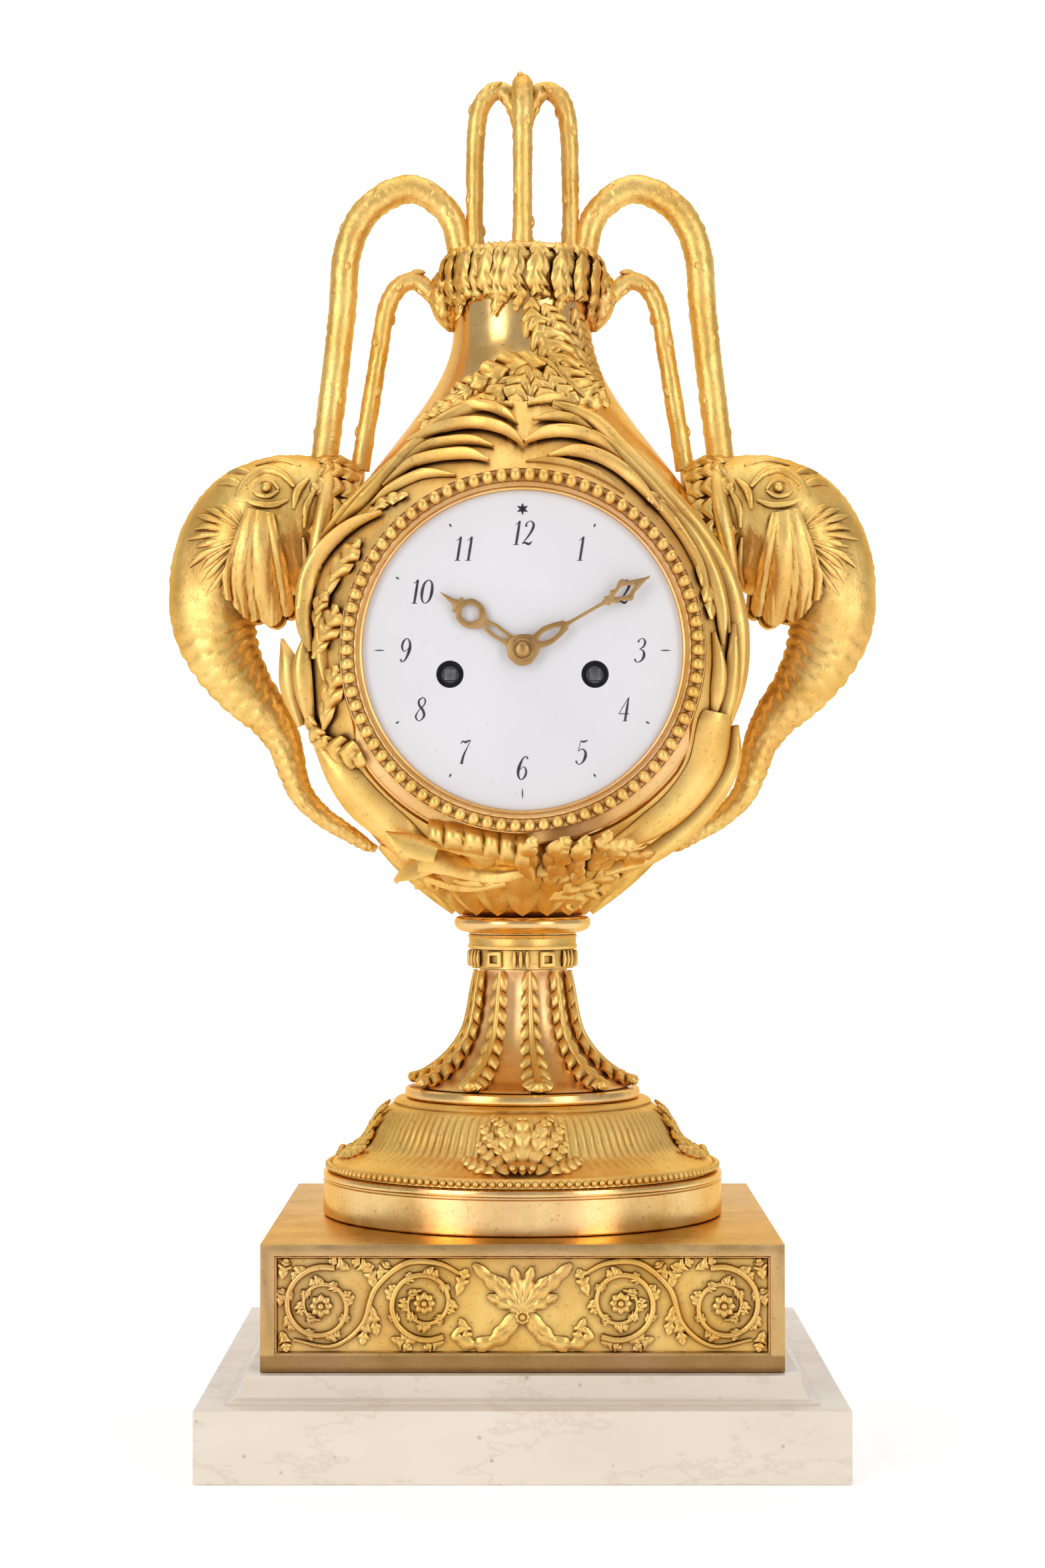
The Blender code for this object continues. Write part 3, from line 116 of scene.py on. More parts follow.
def tidy_mesh(piece: Piece, merge: float = 0.02, fill: bool = False, angle: float = 40) -> Piece:
    """Merge doubles, close holes if asked, turn the faces outwards and smooth the shading.

    Args:
        piece: the piece to tidy.
        merge: the distance within which points are one, in millimetres.
        fill: whether open rims are closed.
        angle: edges sharper than this many degrees stay crisp.

    Returns:
        The same piece.
    """
    alone(piece)
    mode("EDIT")
    bpy.ops.mesh.select_all(action="SELECT")
    bpy.ops.mesh.remove_doubles(threshold=merge * MM)
    if fill:
        bpy.ops.mesh.fill_holes(sides=0)
    bpy.ops.mesh.select_all(action="SELECT")
    bpy.ops.mesh.normals_make_consistent(inside=False)
    mode("OBJECT")
    bpy.ops.object.shade_smooth_by_angle(angle=math.radians(angle))
    return piece


def pick_faces(piece: Piece, axis: int, low: float, high: float) -> None:
    """Go into edit mode with those faces selected that look a certain way.

    Args:
        piece: the piece.
        axis: the axis that their normals are measured on.
        low: the least measure.
        high: the largest measure.
    """
    mode("EDIT")
    bpy.ops.mesh.select_mode(type="FACE")
    bpy.ops.mesh.select_all(action="DESELECT")
    mode("OBJECT")
    for face in piece.data.polygons:
        face.select = low < face.normal[axis] < high
    mode("EDIT")


def join(name: str, pieces: Sequence[Piece]) -> Piece:
    """Join pieces into the first of them.

    Args:
        name: the joined piece's name.
        pieces: the pieces, at least one.

    Returns:
        The joined piece.
    """
    clear_selection()
    for piece in pieces:
        piece.select_set(True)
    bpy.context.view_layer.objects.active = pieces[0]
    if len(pieces) > 1:
        bpy.ops.object.join()
    pieces[0].name = pieces[0].data.name = name
    return pieces[0]


def settle(piece: Piece) -> Piece:
    """Apply a piece's place, turn and scale, so that its object sits at the origin."""
    alone(piece)
    bpy.ops.object.transform_apply(location=True, rotation=True, scale=True)
    return piece


def copy_of(piece: Piece, change: Matrix) -> Piece:
    """Copy a piece with its own mesh, changed by a matrix, and keep its faces outwards.

    Args:
        piece: the piece to copy.
        change: where the copy goes, in metres.

    Returns:
        The copy.
    """
    mesh = piece.data.copy()
    mesh.transform(change)
    if change.determinant() < 0:
        mesh.flip_normals()
    twin = bpy.data.objects.new(piece.name, mesh)
    bpy.context.scene.collection.objects.link(twin)
    return twin


def around(piece: Piece, count: int, first: float = 0.0, axis: str = "Z") -> list[Piece]:
    """Copy a piece round an axis through the origin and drop the first one.

    Args:
        piece: the piece, modelled at angle nought.
        count: how many copies.
        first: the first copy's angle in degrees.
        axis: the axis that they stand round.

    Returns:
        The copies.
    """
    step = 2 * math.pi / count
    copies = [
        copy_of(piece, Matrix.Rotation(math.radians(first) + step * index, 4, axis)) for index in range(count)
    ]
    bpy.data.objects.remove(piece)
    return copies


def smooth(points: Points, count: int) -> Array:
    """Run an even curve through points.

    Args:
        points: the points that it passes.
        count: how many points it gets.

    Returns:
        The curve's points.
    """
    given = np.asarray(points, float)
    given = given[:, None] if given.ndim == 1 else given
    if len(given) < 2:
        return np.repeat(given, count, axis=0)
    ends = np.vstack([2 * given[0] - given[1], given, 2 * given[-1] - given[-2]])
    spot = np.linspace(0, len(given) - 1, count)
    step = np.minimum(spot.astype(int), len(given) - 2)
    t = (spot - step)[:, None]
    before, start, stop, after = (ends[step + shift] for shift in range(4))
    return 0.5 * (
        2 * start
        + (stop - before) * t
        + (2 * before - 5 * start + 4 * stop - after) * t**2
        + (3 * start - before - 3 * stop + after) * t**3
    )


def turned(name: str, profile: Points, sides: int = 96, ring: bool = False, angle: float = 35) -> Piece:
    """Turn a piece on the vertical axis: a circle is added, then extruded and resized up its profile.

    Args:
        name: the piece's name.
        profile: radius and height pairs, from the bottom. With 4 sides the radius is half the width.
        sides: how many sides the circle has.
        ring: whether the profile runs round and closes on itself.
        angle: edges sharper than this many degrees stay crisp.

    Returns:
        The piece.
    """
    corner = math.sqrt(2) if sides == 4 else 1.0
    clear_selection()
    radius, height = max(profile[0][0], 0.02), profile[0][1]
    bpy.ops.mesh.primitive_circle_add(
        vertices=sides,
        radius=radius * corner * MM,
        fill_type="NGON",
        location=(0, 0, height * MM),
        rotation=(0, 0, math.pi / sides),
    )
    piece = bpy.context.object
    piece.name = name
    mode("EDIT")
    bpy.ops.mesh.select_all(action="SELECT")
    for wide, high in list(profile[1:]) + ([profile[0]] if ring else []):
        wide = max(wide, 0.02)
        lift = {"value": (0, 0, (high - height) * MM)}
        bpy.ops.mesh.extrude_region_move(TRANSFORM_OT_translate=lift)
        if wide != radius:
            share = wide / radius
            bpy.ops.transform.resize(value=(share, share, 1), center_override=(0, 0, high * MM))
        radius, height = wide, high
    if ring:
        bpy.ops.mesh.select_all(action="DESELECT")
        bpy.ops.mesh.select_face_by_sides(number=sides)
        bpy.ops.mesh.delete(type="ONLY_FACE")
    mode("OBJECT")
    return tidy_mesh(settle(piece), merge=0.005, angle=angle)


def faced(piece: Piece, height: float = DIAL_HEIGHT) -> Piece:
    """Turn a piece made on the vertical axis to face the front, at a height in millimetres."""
    piece.rotation_euler = (math.pi / 2, 0, 0)
    piece.location = (0, 0, height * MM)
    return settle(piece)


def sheet(name: str, across: int, along: int, place: Placer) -> Piece:
    """Add a grid and lay its points where a rule puts them.

    Args:
        name: the piece's name.
        across: faces across it.
        along: faces along it.
        place: gives the points in millimetres for shares across and along.

    Returns:
        The piece, open and unsmoothed.
    """
    clear_selection()
    bpy.ops.mesh.primitive_grid_add(x_subdivisions=across, y_subdivisions=along, size=2)
    piece = bpy.context.object
    piece.name = name
    flat = np.empty(len(piece.data.vertices) * 3)
    piece.data.vertices.foreach_get("co", flat)
    flat = flat.reshape(-1, 3)
    laid = place((flat[:, 0] + 1) / 2, (flat[:, 1] + 1) / 2) * MM
    piece.data.vertices.foreach_set("co", laid.ravel())
    piece.data.update()
    return piece


def reshape(piece: Piece, rule: Callable[[Array], Array]) -> Piece:
    """Move a piece's points by a rule.

    Args:
        piece: the piece.
        rule: gives the new points for the old ones, both in millimetres.

    Returns:
        The same piece.
    """
    flat = np.empty(len(piece.data.vertices) * 3)
    piece.data.vertices.foreach_get("co", flat)
    piece.data.vertices.foreach_set("co", (rule(flat.reshape(-1, 3) / MM) * MM).ravel())
    piece.data.update()
    return piece


def pairs(line: Sequence[float]) -> list[tuple[float, float]]:
    """Set a flat line of numbers in pairs, across and up."""
    return list(zip(line[::2], line[1::2]))


def unit(vectors: Array) -> Array:
    """Vectors of length one."""
    return vectors / np.maximum(np.linalg.norm(vectors, axis=1, keepdims=True), 1e-9)


def frames(path: Points, facing: Points, count: int) -> tuple[Array, Array, Array, Array]:
    """Find the spine of a swept piece and the directions along it.

    Args:
        path: the points that it passes.
        facing: one direction, or one for each point, that its top looks towards.
        count: how many steps it gets.

    Returns:
        Its points, and the directions along, across and out of it.
    """
    spine = smooth(path, count + 1)
    hints = np.atleast_2d(np.asarray(facing, float))
    hints = smooth(hints, count + 1) if len(hints) > 1 else np.repeat(hints, count + 1, axis=0)
    ahead = unit(np.gradient(spine, axis=0))
    side = unit(np.cross(ahead, hints))
    return spine, ahead, side, unit(np.cross(side, ahead))


def cut(section: Section, turn: Array) -> tuple[Array, Array]:
    """Give a section's outline.

    Args:
        section: which section.
        turn: shares of a full turn round it.

    Returns:
        The outline's offsets across and outwards, both within one.
    """
    wide, high = np.cos(2 * math.pi * turn), np.sin(2 * math.pi * turn)
    if section is Section.BLADE:
        crease = np.clip(1 - np.abs(wide) ** 1.5, 0, 1) ** 0.8
        return wide, np.where(high > 0, crease, -0.35 * crease)
    if section is Section.RIBBON:
        return np.sign(wide) * np.abs(wide) ** 0.5, np.sign(high) * np.abs(high) ** 0.5
    return wide, high


def sweep(
    name: str,
    path: Points,
    wide: Sequence[float],
    high: Sequence[float] | None = None,
    facing: Points = (0, -1, 0),
    along: int = 24,
    sides: int = 12,
    section: Section = Section.ROUND,
) -> Piece:
    """Sweep a closed section along a path.

    Args:
        name: the piece's name.
        path: the points that it passes.
        wide: half its width at even steps of the path.
        high: half its height, or nothing for a round one.
        facing: the direction that its top looks towards.
        along: faces along it.
        sides: faces round it.
        section: its section.

    Returns:
        The piece, closed.
    """
    spine, _, side, out = frames(path, facing, along)
    half = np.maximum(smooth(wide, along + 1)[:, 0], 0.01)
    rise = half if high is None else np.maximum(smooth(high, along + 1)[:, 0], 0.01)

    def place(u: Array, v: Array) -> Array:
        """Lay the grid's points round the spine."""
        step = np.rint(v * along).astype(int)
        across, outwards = cut(section, u)
        aside = side[step] * (across * half[step])[:, None]
        return spine[step] + aside + out[step] * (outwards * rise[step])[:, None]

    return tidy_mesh(sheet(name, sides, along, place), merge=0.004, fill=True, angle=60)


def leaf(
    name: str,
    path: Points,
    wide: Sequence[float],
    facing: Points = (0, -1, 0),
    lobes: float = 5,
    notch: float = 0.4,
    cup: float = 0.25,
    vein: float = 0.12,
    lead: float = 0.5,
    thick: float = 0.8,
    across: int = 10,
    along: int = 30,
) -> Piece:
    """Model one lobed leaf on a path: a grid is laid out with lobes and veins, then given its thickness.

    Args:
        name: the piece's name.
        path: the points of its midrib, from its stalk to its tip.
        wide: half its width at even steps of the path.
        facing: the direction that it looks towards.
        lobes: lobes down each side.
        notch: how deep the notches between lobes cut, as a share of its width.
        cup: how far its edges fall behind its midrib, as a share of its width.
        vein: how high its veins stand, as a share of its width.
        lead: how far its lobes lean towards its tip, as a share of its width.
        thick: its thickness.
        across: faces across it.
        along: faces along it.

    Returns:
        The piece, closed.
    """
    spine, ahead, side, out = frames(path, facing, along)
    half = np.maximum(smooth(wide, along + 1)[:, 0], 0.02)

    def place(u: Array, v: Array) -> Array:
        """Lay the grid's points on the leaf."""
        step = np.rint(v * along).astype(int)
        reach = 2 * u - 1
        edge = np.abs(reach)
        wave = np.abs(np.sin(math.pi * lobes * v))
        width = half[step] * (1 - notch * (1 - wave**0.7) * edge**0.6)
        veins = vein * (2 * wave - 1) * edge * (1.3 - edge) * 2
        height = half[step] * (veins - cup * edge**1.8 + 0.10 * (edge < 0.12))
        forward = half[step] * lead * edge**1.4 * (1 - v**3)
        return (
            spine[step]
            + side[step] * (reach * width)[:, None]
            + out[step] * height[:, None]
            + ahead[step] * forward[:, None]
        )

    piece = sheet(name, across, along, place)
    modify(piece, "SOLIDIFY", thickness=thick * MM, offset=0.0)
    return tidy_mesh(piece, merge=0.004, angle=65)


def bead(size: float, place: Sequence[float], segments: int = 8, rings: int = 6) -> Piece:
    """Model one bead: a sphere whose equator is pulled out a little into its seat.

    Args:
        size: its diameter.
        place: its centre.
        segments: faces round it.
        rings: faces from pole to pole.

    Returns:
        The bead.
    """
    clear_selection()
    bpy.ops.mesh.primitive_uv_sphere_add(
        segments=segments, ring_count=rings, radius=size / 2 * MM, location=[value * MM for value in place]
    )
    piece = bpy.context.object
    mode("EDIT")
    bpy.ops.mesh.select_all(action="SELECT")
    bpy.ops.transform.resize(value=(1, 1, 0.96), center_override=[value * MM for value in place])
    mode("OBJECT")
    bpy.ops.object.shade_smooth()
    return settle(piece)


def hand_over(piece: Piece, finish: bpy.types.Material, slot: str, *nodes: str, body: str = "clock") -> None:
    """Dress a finished piece and give it to the frame.

    Args:
        piece: the piece.
        finish: its material.
        slot: the record's material slot; not used.
        nodes: the CAD nodes that it stands for.
        body: the CAD body that it rides on.
    """
    piece.data.materials.clear()
    piece.data.materials.append(finish)
    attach(piece, body)
    if nodes:
        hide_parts(*nodes)
    log.info("%s: %d faces on %s", piece.name, len(piece.data.polygons), body)


# Finishes


class Palette:
    """A material's node tree, wired by short calls."""

    def __init__(self, name: str) -> None:
        """Start a material with its shader alone."""
        self.material = bpy.data.materials.new(name)
        self.material.use_nodes = True
        self.tree = self.material.node_tree
        self.shader = self.tree.nodes["Principled BSDF"]
        self.where = self.tree.nodes.new("ShaderNodeTexCoord").outputs["Object"]

    def put(
        self, kind: str, inputs: dict[str | int, object] | None = None, **settings: object
    ) -> bpy.types.Node:
        """Add a node.

        Args:
            kind: the node's type name without its prefix.
            inputs: values or outputs for its sockets.
            settings: its own settings.

        Returns:
            The node.
        """
        node = self.tree.nodes.new("ShaderNode" + kind)
        for setting, value in settings.items():
            setattr(node, setting, value)
        for socket, value in (inputs or {}).items():
            self.feed(node.inputs[socket], value)
        return node

    def feed(self, socket: Socket, value: object) -> None:
        """Give a socket an output to read, or a value."""
        if isinstance(value, Socket):
            self.tree.links.new(value, socket)
        else:
            socket.default_value = value

    def noise(
        self, scale: float, detail: float = 4, rough: float = 0.55, stretch: Colour = (1, 1, 1)
    ) -> Socket:
        """Add a noise on the piece's own coordinates.

        Args:
            scale: how many waves it has in a metre.
            detail: how many finer layers it has.
            rough: how strong they are.
            stretch: how it is stretched on each axis.

        Returns:
            Its value.
        """
        mapped = self.put("Mapping", {"Vector": self.where, "Scale": stretch}).outputs[0]
        texture = self.put("TexNoise", {
            "Vector": mapped, "Scale": scale, "Detail": detail, "Roughness": rough
        })
        return texture.outputs["Fac"]

    def span(self, value: Socket, low: float, high: float, start: float = 0.3, stop: float = 0.7) -> Socket:
        """Stretch a value from the range start to stop to the range low to high."""
        limits = {"Value": value, "From Min": start, "From Max": stop, "To Min": low, "To Max": high}
        return self.put("MapRange", limits).outputs[0]

    def mix(self, share: object, first: object, second: object, blend: str = "MIX") -> Socket:
        """Mix two colours.

        Args:
            share: how much of the second.
            first: the first colour.
            second: the second colour.
            blend: the way that they mix.

        Returns:
            The mixed colour.
        """
        node = self.put("Mix", data_type="RGBA", blend_type=blend)
        self.feed(node.inputs[0], share)
        self.feed(node.inputs[6], (*first, 1) if isinstance(first, tuple) else first)
        self.feed(node.inputs[7], (*second, 1) if isinstance(second, tuple) else second)
        return node.outputs[2]

    def bump(self, height: Socket, strength: float, depth: float, under: object = None) -> Socket:
        """Add a bump.

        Args:
            height: the height to read.
            strength: its strength.
            depth: its depth in millimetres.
            under: another bump that it lies on.

        Returns:
            The normal.
        """
        node = self.put("Bump", {"Height": height, "Strength": strength, "Distance": depth * MM})
        if under is not None:
            self.feed(node.inputs["Normal"], under)
        return node.outputs[0]

    def recess(self, reach: float, power: float) -> Socket:
        """Find how open a spot is, nought in a crevice and one in the open, within a reach in millimetres."""
        open_air = self.put("AmbientOcclusion", {"Distance": reach * MM}, only_local=True, samples=6)
        return self.put("Math", {0: open_air.outputs["AO"], 1: power}, operation="POWER").outputs[0]

    def finish(self, inputs: dict[str, object]) -> bpy.types.Material:
        """Feed the shader's sockets and give the material."""
        for socket, value in inputs.items():
            self.feed(self.shader.inputs[socket], value)
        return self.material


@dataclass(frozen=True)
class Gilding:
    """A fire-gilt bronze finish, from matt to burnished."""

    name: str
    bright: Colour
    deep: Colour
    # hollow is the brown of the painted shade in crevices, and also the colour of the dark specks
    hollow: Colour
    tint: Colour
    rough: tuple[float, float] = (0.3, 0.5)
    # reach and power set how far and how strongly the painted shade in hollows spreads
    reach: float = 3.0
    power: float = 1.2
    grain: float = 0.25
    grain_scale: float = 1400
    tint_share: float = 0.25
    # painted dark reflection: below these heights, in millimetres, the gilding darkens towards the hollow
    # brown
    shaded: tuple[float, float] | None = None

    def material(self) -> bpy.types.Material:
        """Make the material: gold that varies, painted shade that browns its hollows, dark specks, worn tint,
        fine chasing and scratches.
        """
        paint = Palette(self.name)
        cloud = paint.noise(55, 5)
        gold = paint.mix(paint.span(cloud, 0, 1, 0.35, 0.65), self.bright, self.deep)
        worn = paint.span(paint.noise(24, 3), 0, self.tint_share, 0.45, 0.7)
        gold = paint.mix(worn, gold, self.tint)
        speck = paint.span(paint.noise(700, 2), 0, 0.35, 0.62, 0.72)
        gold = paint.mix(speck, gold, self.hollow)
        # painted shade: occlusion within reach darkens the gold towards the hollow brown in crevices and
        # recesses
        gold = paint.mix(paint.recess(self.reach, self.power), self.hollow, gold)
        # painted dark reflection: the gilding darkens towards the hollow brown low down, standing for the
        # dark that the plinth's low rail reflects
        if self.shaded is not None:
            low, high = (height * MM for height in self.shaded)
            rise = paint.put("SeparateXYZ", {"Vector": paint.where}).outputs["Z"]
            gold = paint.mix(paint.span(rise, 0.6, 0, low, high), gold, self.hollow)
        fine = paint.bump(paint.noise(self.grain_scale, 3), self.grain, 0.12)
        return paint.finish({
            "Base Color": gold,
            "Metallic": 1.0,
            "Specular Tint": (0.95, 0.70, 0.38, 1),
            "Roughness": paint.span(paint.noise(130, 6, 0.65), *self.rough),
            "Normal": paint.bump(paint.noise(180, 3), self.grain * 0.8, 0.35, fine),
        })


@dataclass(frozen=True)
class Marble:
    """Statuary marble: warm cream, soft grey-brown veins, small pits and a honed polish."""

    name: str = "cream_marble"

    def material(self) -> bpy.types.Material:
        """Make the material."""
        paint = Palette(self.name)
        cloud = paint.span(paint.noise(14, 5, 0.6, (1, 1, 2.2)), 0, 1, 0.3, 0.7)
        stone = paint.mix(cloud, (0.79, 0.70, 0.60), (0.725, 0.63, 0.525))
        drift = paint.noise(9, 8, 0.7, (1, 1, 2.6))
        ridge = paint.put("Math", {0: drift, 1: 0.5}, operation="SUBTRACT").outputs[0]
        ridge = paint.put("Math", {0: ridge}, operation="ABSOLUTE").outputs[0]
        vein = paint.span(ridge, 0.42, 0, 0.0, 0.018)
        stone = paint.mix(vein, stone, (0.58, 0.47, 0.37))
        pits = paint.put("TexVoronoi", {"Vector": paint.where, "Scale": 120.0}, feature="F1")
        pit = paint.span(pits.outputs["Distance"], 0.7, 0, 0.03, 0.10)
        stone = paint.mix(pit, stone, (0.36, 0.27, 0.19))
        # painted shade: the stone darkens to grey-brown in its hollows and crevices
        stone = paint.mix(paint.recess(3, 1.5), (0.42, 0.35, 0.28), stone)
        chips = paint.bump(pit, 0.35, -0.3)
        return paint.finish({
            "Base Color": stone,
            "Roughness": paint.span(paint.noise(90, 4), 0.28, 0.46),
            "Subsurface Weight": 0.12,
            "Subsurface Radius": (0.004, 0.003, 0.002),
            "Normal": paint.bump(paint.noise(400, 3), 0.08, 0.15, chips),
        })


@dataclass(frozen=True)
class Enamel:
    """Fired enamel: cool white, faintly clouded, with a soft gloss."""

    name: str = "white_enamel_glaze"

    def material(self) -> bpy.types.Material:
        """Make the material."""
        paint = Palette(self.name)
        glaze = paint.mix(paint.span(paint.noise(30, 4), 0, 1), (0.745, 0.73, 0.75), (0.70, 0.685, 0.71))
        dust = paint.span(paint.noise(520, 2), 0, 0.5, 0.70, 0.76)
        glaze = paint.mix(dust, glaze, (0.55, 0.53, 0.52))
        return paint.finish({
            "Base Color": glaze,
            "Roughness": paint.span(paint.noise(60, 3), 0.12, 0.22),
            "Coat Weight": 0.4,
            "Coat Roughness": 0.08,
            "Normal": paint.bump(paint.noise(75, 2), 0.05, 0.3),
        })


@dataclass(frozen=True)
class Plain:
    """Small dark finishes: fired ink, steel and the shade inside a hole."""

    name: str
    first: Colour
    second: Colour
    metallic: float = 0.0
    rough: tuple[float, float] = (0.3, 0.5)

    def material(self) -> bpy.types.Material:
        """Make the material."""
        paint = Palette(self.name)
        tone = paint.mix(paint.span(paint.noise(420, 4), 0, 1), self.first, self.second)
        return paint.finish({
            "Base Color": tone,
            "Metallic": self.metallic,
            "Roughness": paint.span(paint.noise(300, 3), *self.rough),
            "Normal": paint.bump(paint.noise(1500, 2), 0.1, 0.05),
        })


@dataclass
class Finishes:
    """Every finish on the clock, made once."""

    def __post_init__(self) -> None:
        """Make the materials."""
        # the third colour of each gilding is the brown of its painted shade in hollows and of its specks
        self.relief = Gilding(
            "matt_gilding", (0.95, 0.65, 0.215), (0.80, 0.475, 0.115), (0.20, 0.080, 0.016),
            (0.88, 0.53, 0.22), (0.34, 0.52), 4.0, 1.6, 0.5, 1500, 0.4,
        ).material()
        self.hide = Gilding(
            "chased_hide_gilding", (0.96, 0.69, 0.24), (0.80, 0.475, 0.115), (0.22, 0.090, 0.018),
            (0.86, 0.50, 0.19), (0.36, 0.54), 4.0, 1.7, 1.0, 1050, 0.45,
        ).material()
        self.frieze = Gilding(
            "frieze_gilding", (0.93, 0.615, 0.19), (0.76, 0.43, 0.10), (0.13, 0.050, 0.010),
            (0.66, 0.42, 0.22), (0.30, 0.48), 2.4, 2.1, 0.35, 1700, 0.4,
        ).material()
        self.satin = Gilding(
            "satin_gilding", (0.88, 0.585, 0.24), (0.78, 0.46, 0.16), (0.22, 0.09, 0.02), (0.80, 0.47, 0.28),
            (0.34, 0.50), 3.0, 1.2, 0.2, 1200, 0.6,
        ).material()
        # a darker copy of the burnished gilding: its deeper gold is a painted dark reflection of the
        # surroundings in the plinth's upright faces
        self.plinth = Gilding(
            "plinth_gilding_dark_reflection", (0.70, 0.46, 0.19), (0.54, 0.335, 0.12), (0.16, 0.07, 0.02), (0.66, 0.41, 0.23),
            (0.22, 0.38), 3.0, 1.2, 0.2, 1200, 0.6, (34.9, 35.6),
        ).material()
        self.burnished = Gilding(
            "burnished_gilding", (0.92, 0.645, 0.28), (0.80, 0.50, 0.17), (0.26, 0.11, 0.03),
            (0.80, 0.48, 0.29), (0.16, 0.30), 3.0, 1.2, 0.12, 900, 0.6,
        ).material()
        self.hand = Gilding(
            "hand_gilding", (0.62, 0.40, 0.17), (0.46, 0.27, 0.10), (0.10, 0.05, 0.015), (0.40, 0.24, 0.14),
            (0.32, 0.5), 1.0, 1.0, 0.25, 2500, 0.4,
        ).material()
        self.marble = Marble().material()
        self.enamel = Enamel().material()
        self.ink = Plain("fired_ink", (0.014, 0.013, 0.016), (0.05, 0.048, 0.055)).material()
        self.steel = Plain(
            "winding_steel_grey", (0.20, 0.20, 0.21), (0.10, 0.10, 0.105), 0.9, (0.35, 0.55)
        ).material()
        # painted shade: a near-black finish for the sleeves, standing for the shade inside the winding holes
        self.shade = Plain(
            "winding_hole_painted_shade", (0.030, 0.028, 0.028), (0.012, 0.011, 0.011), 0.3, (0.5, 0.7)
        ).material()


# The base and the plinth


@dataclass
class MarbleBase:
    """The square marble base: a slab, a ledge and a cove up to the plinth."""

    half: float = 98.5
    slab: float = 22.0
    ledge: float = 9.0
    top_half: float = 84.5
    height: float = 30.0

    def build(self) -> Piece:
        """Model the base."""
        foot = self.half - self.ledge
        bend = [share * math.pi / 2 for share in (0, 0.2, 0.4, 0.6, 0.8, 1)]
        inwards, start = foot - self.top_half, self.slab + 0.7
        cove = [(foot - inwards * math.sin(turn), start + 5.9 * (1 - math.cos(turn))) for turn in bend]
        profile = [
            (self.half, 0), (self.half, self.slab), (foot, self.slab), *cove, (self.top_half, self.height)
        ]
        piece = turned("marble_slab", profile, sides=4)
        modify(
            piece, "BEVEL", width=0.55 * MM, segments=3, limit_method="ANGLE", angle_limit=math.radians(50)
        )
        return tidy_mesh(piece, merge=0.002)

    def dress(self, finishes: Finishes) -> None:
        """Finish it in marble."""
        hand_over(self.build(), finishes.marble, "white_marble", "marble_base")


@dataclass
class Plinth:
    """The square gilt plinth: a box whose four sides are framed round sunk panels."""

    half: float = 80.0
    low: float = 30.3
    high: float = 69.1
    frame: float = 4.2
    drop: float = 0.75
    sink: float = 2.3

    def build(self) -> Piece:
        """Model the box, with its side faces inset and pushed in."""
        clear_selection()
        middle, tall = (self.low + self.high) / 2 * MM, (self.high - self.low) * MM
        bpy.ops.mesh.primitive_cube_add(
            size=1, location=(0, 0, middle), scale=(2 * self.half * MM, 2 * self.half * MM, tall)
        )
        piece = settle(bpy.context.object)
        piece.name = "plinth_box"
        pick_faces(piece, 2, -0.5, 0.5)
        for border, depth in ((self.frame, 0), (0.5, -0.8), (0.25, 0), (0.2, 0.8 - self.sink)):
            bpy.ops.mesh.inset(thickness=border * MM, depth=depth * MM, use_individual=True)
            if border == self.frame:
                bpy.ops.transform.translate(value=(0, 0, self.drop * MM))
        mode("OBJECT")
        modify(
            piece, "BEVEL", width=0.35 * MM, segments=3, limit_method="ANGLE", angle_limit=math.radians(40)
        )
        return tidy_mesh(piece, merge=0.002)

    def dress(self, finishes: Finishes) -> None:
        """Burnish it."""
        hand_over(self.build(), finishes.plinth, "burnished_gilt", "gilt_plinth")


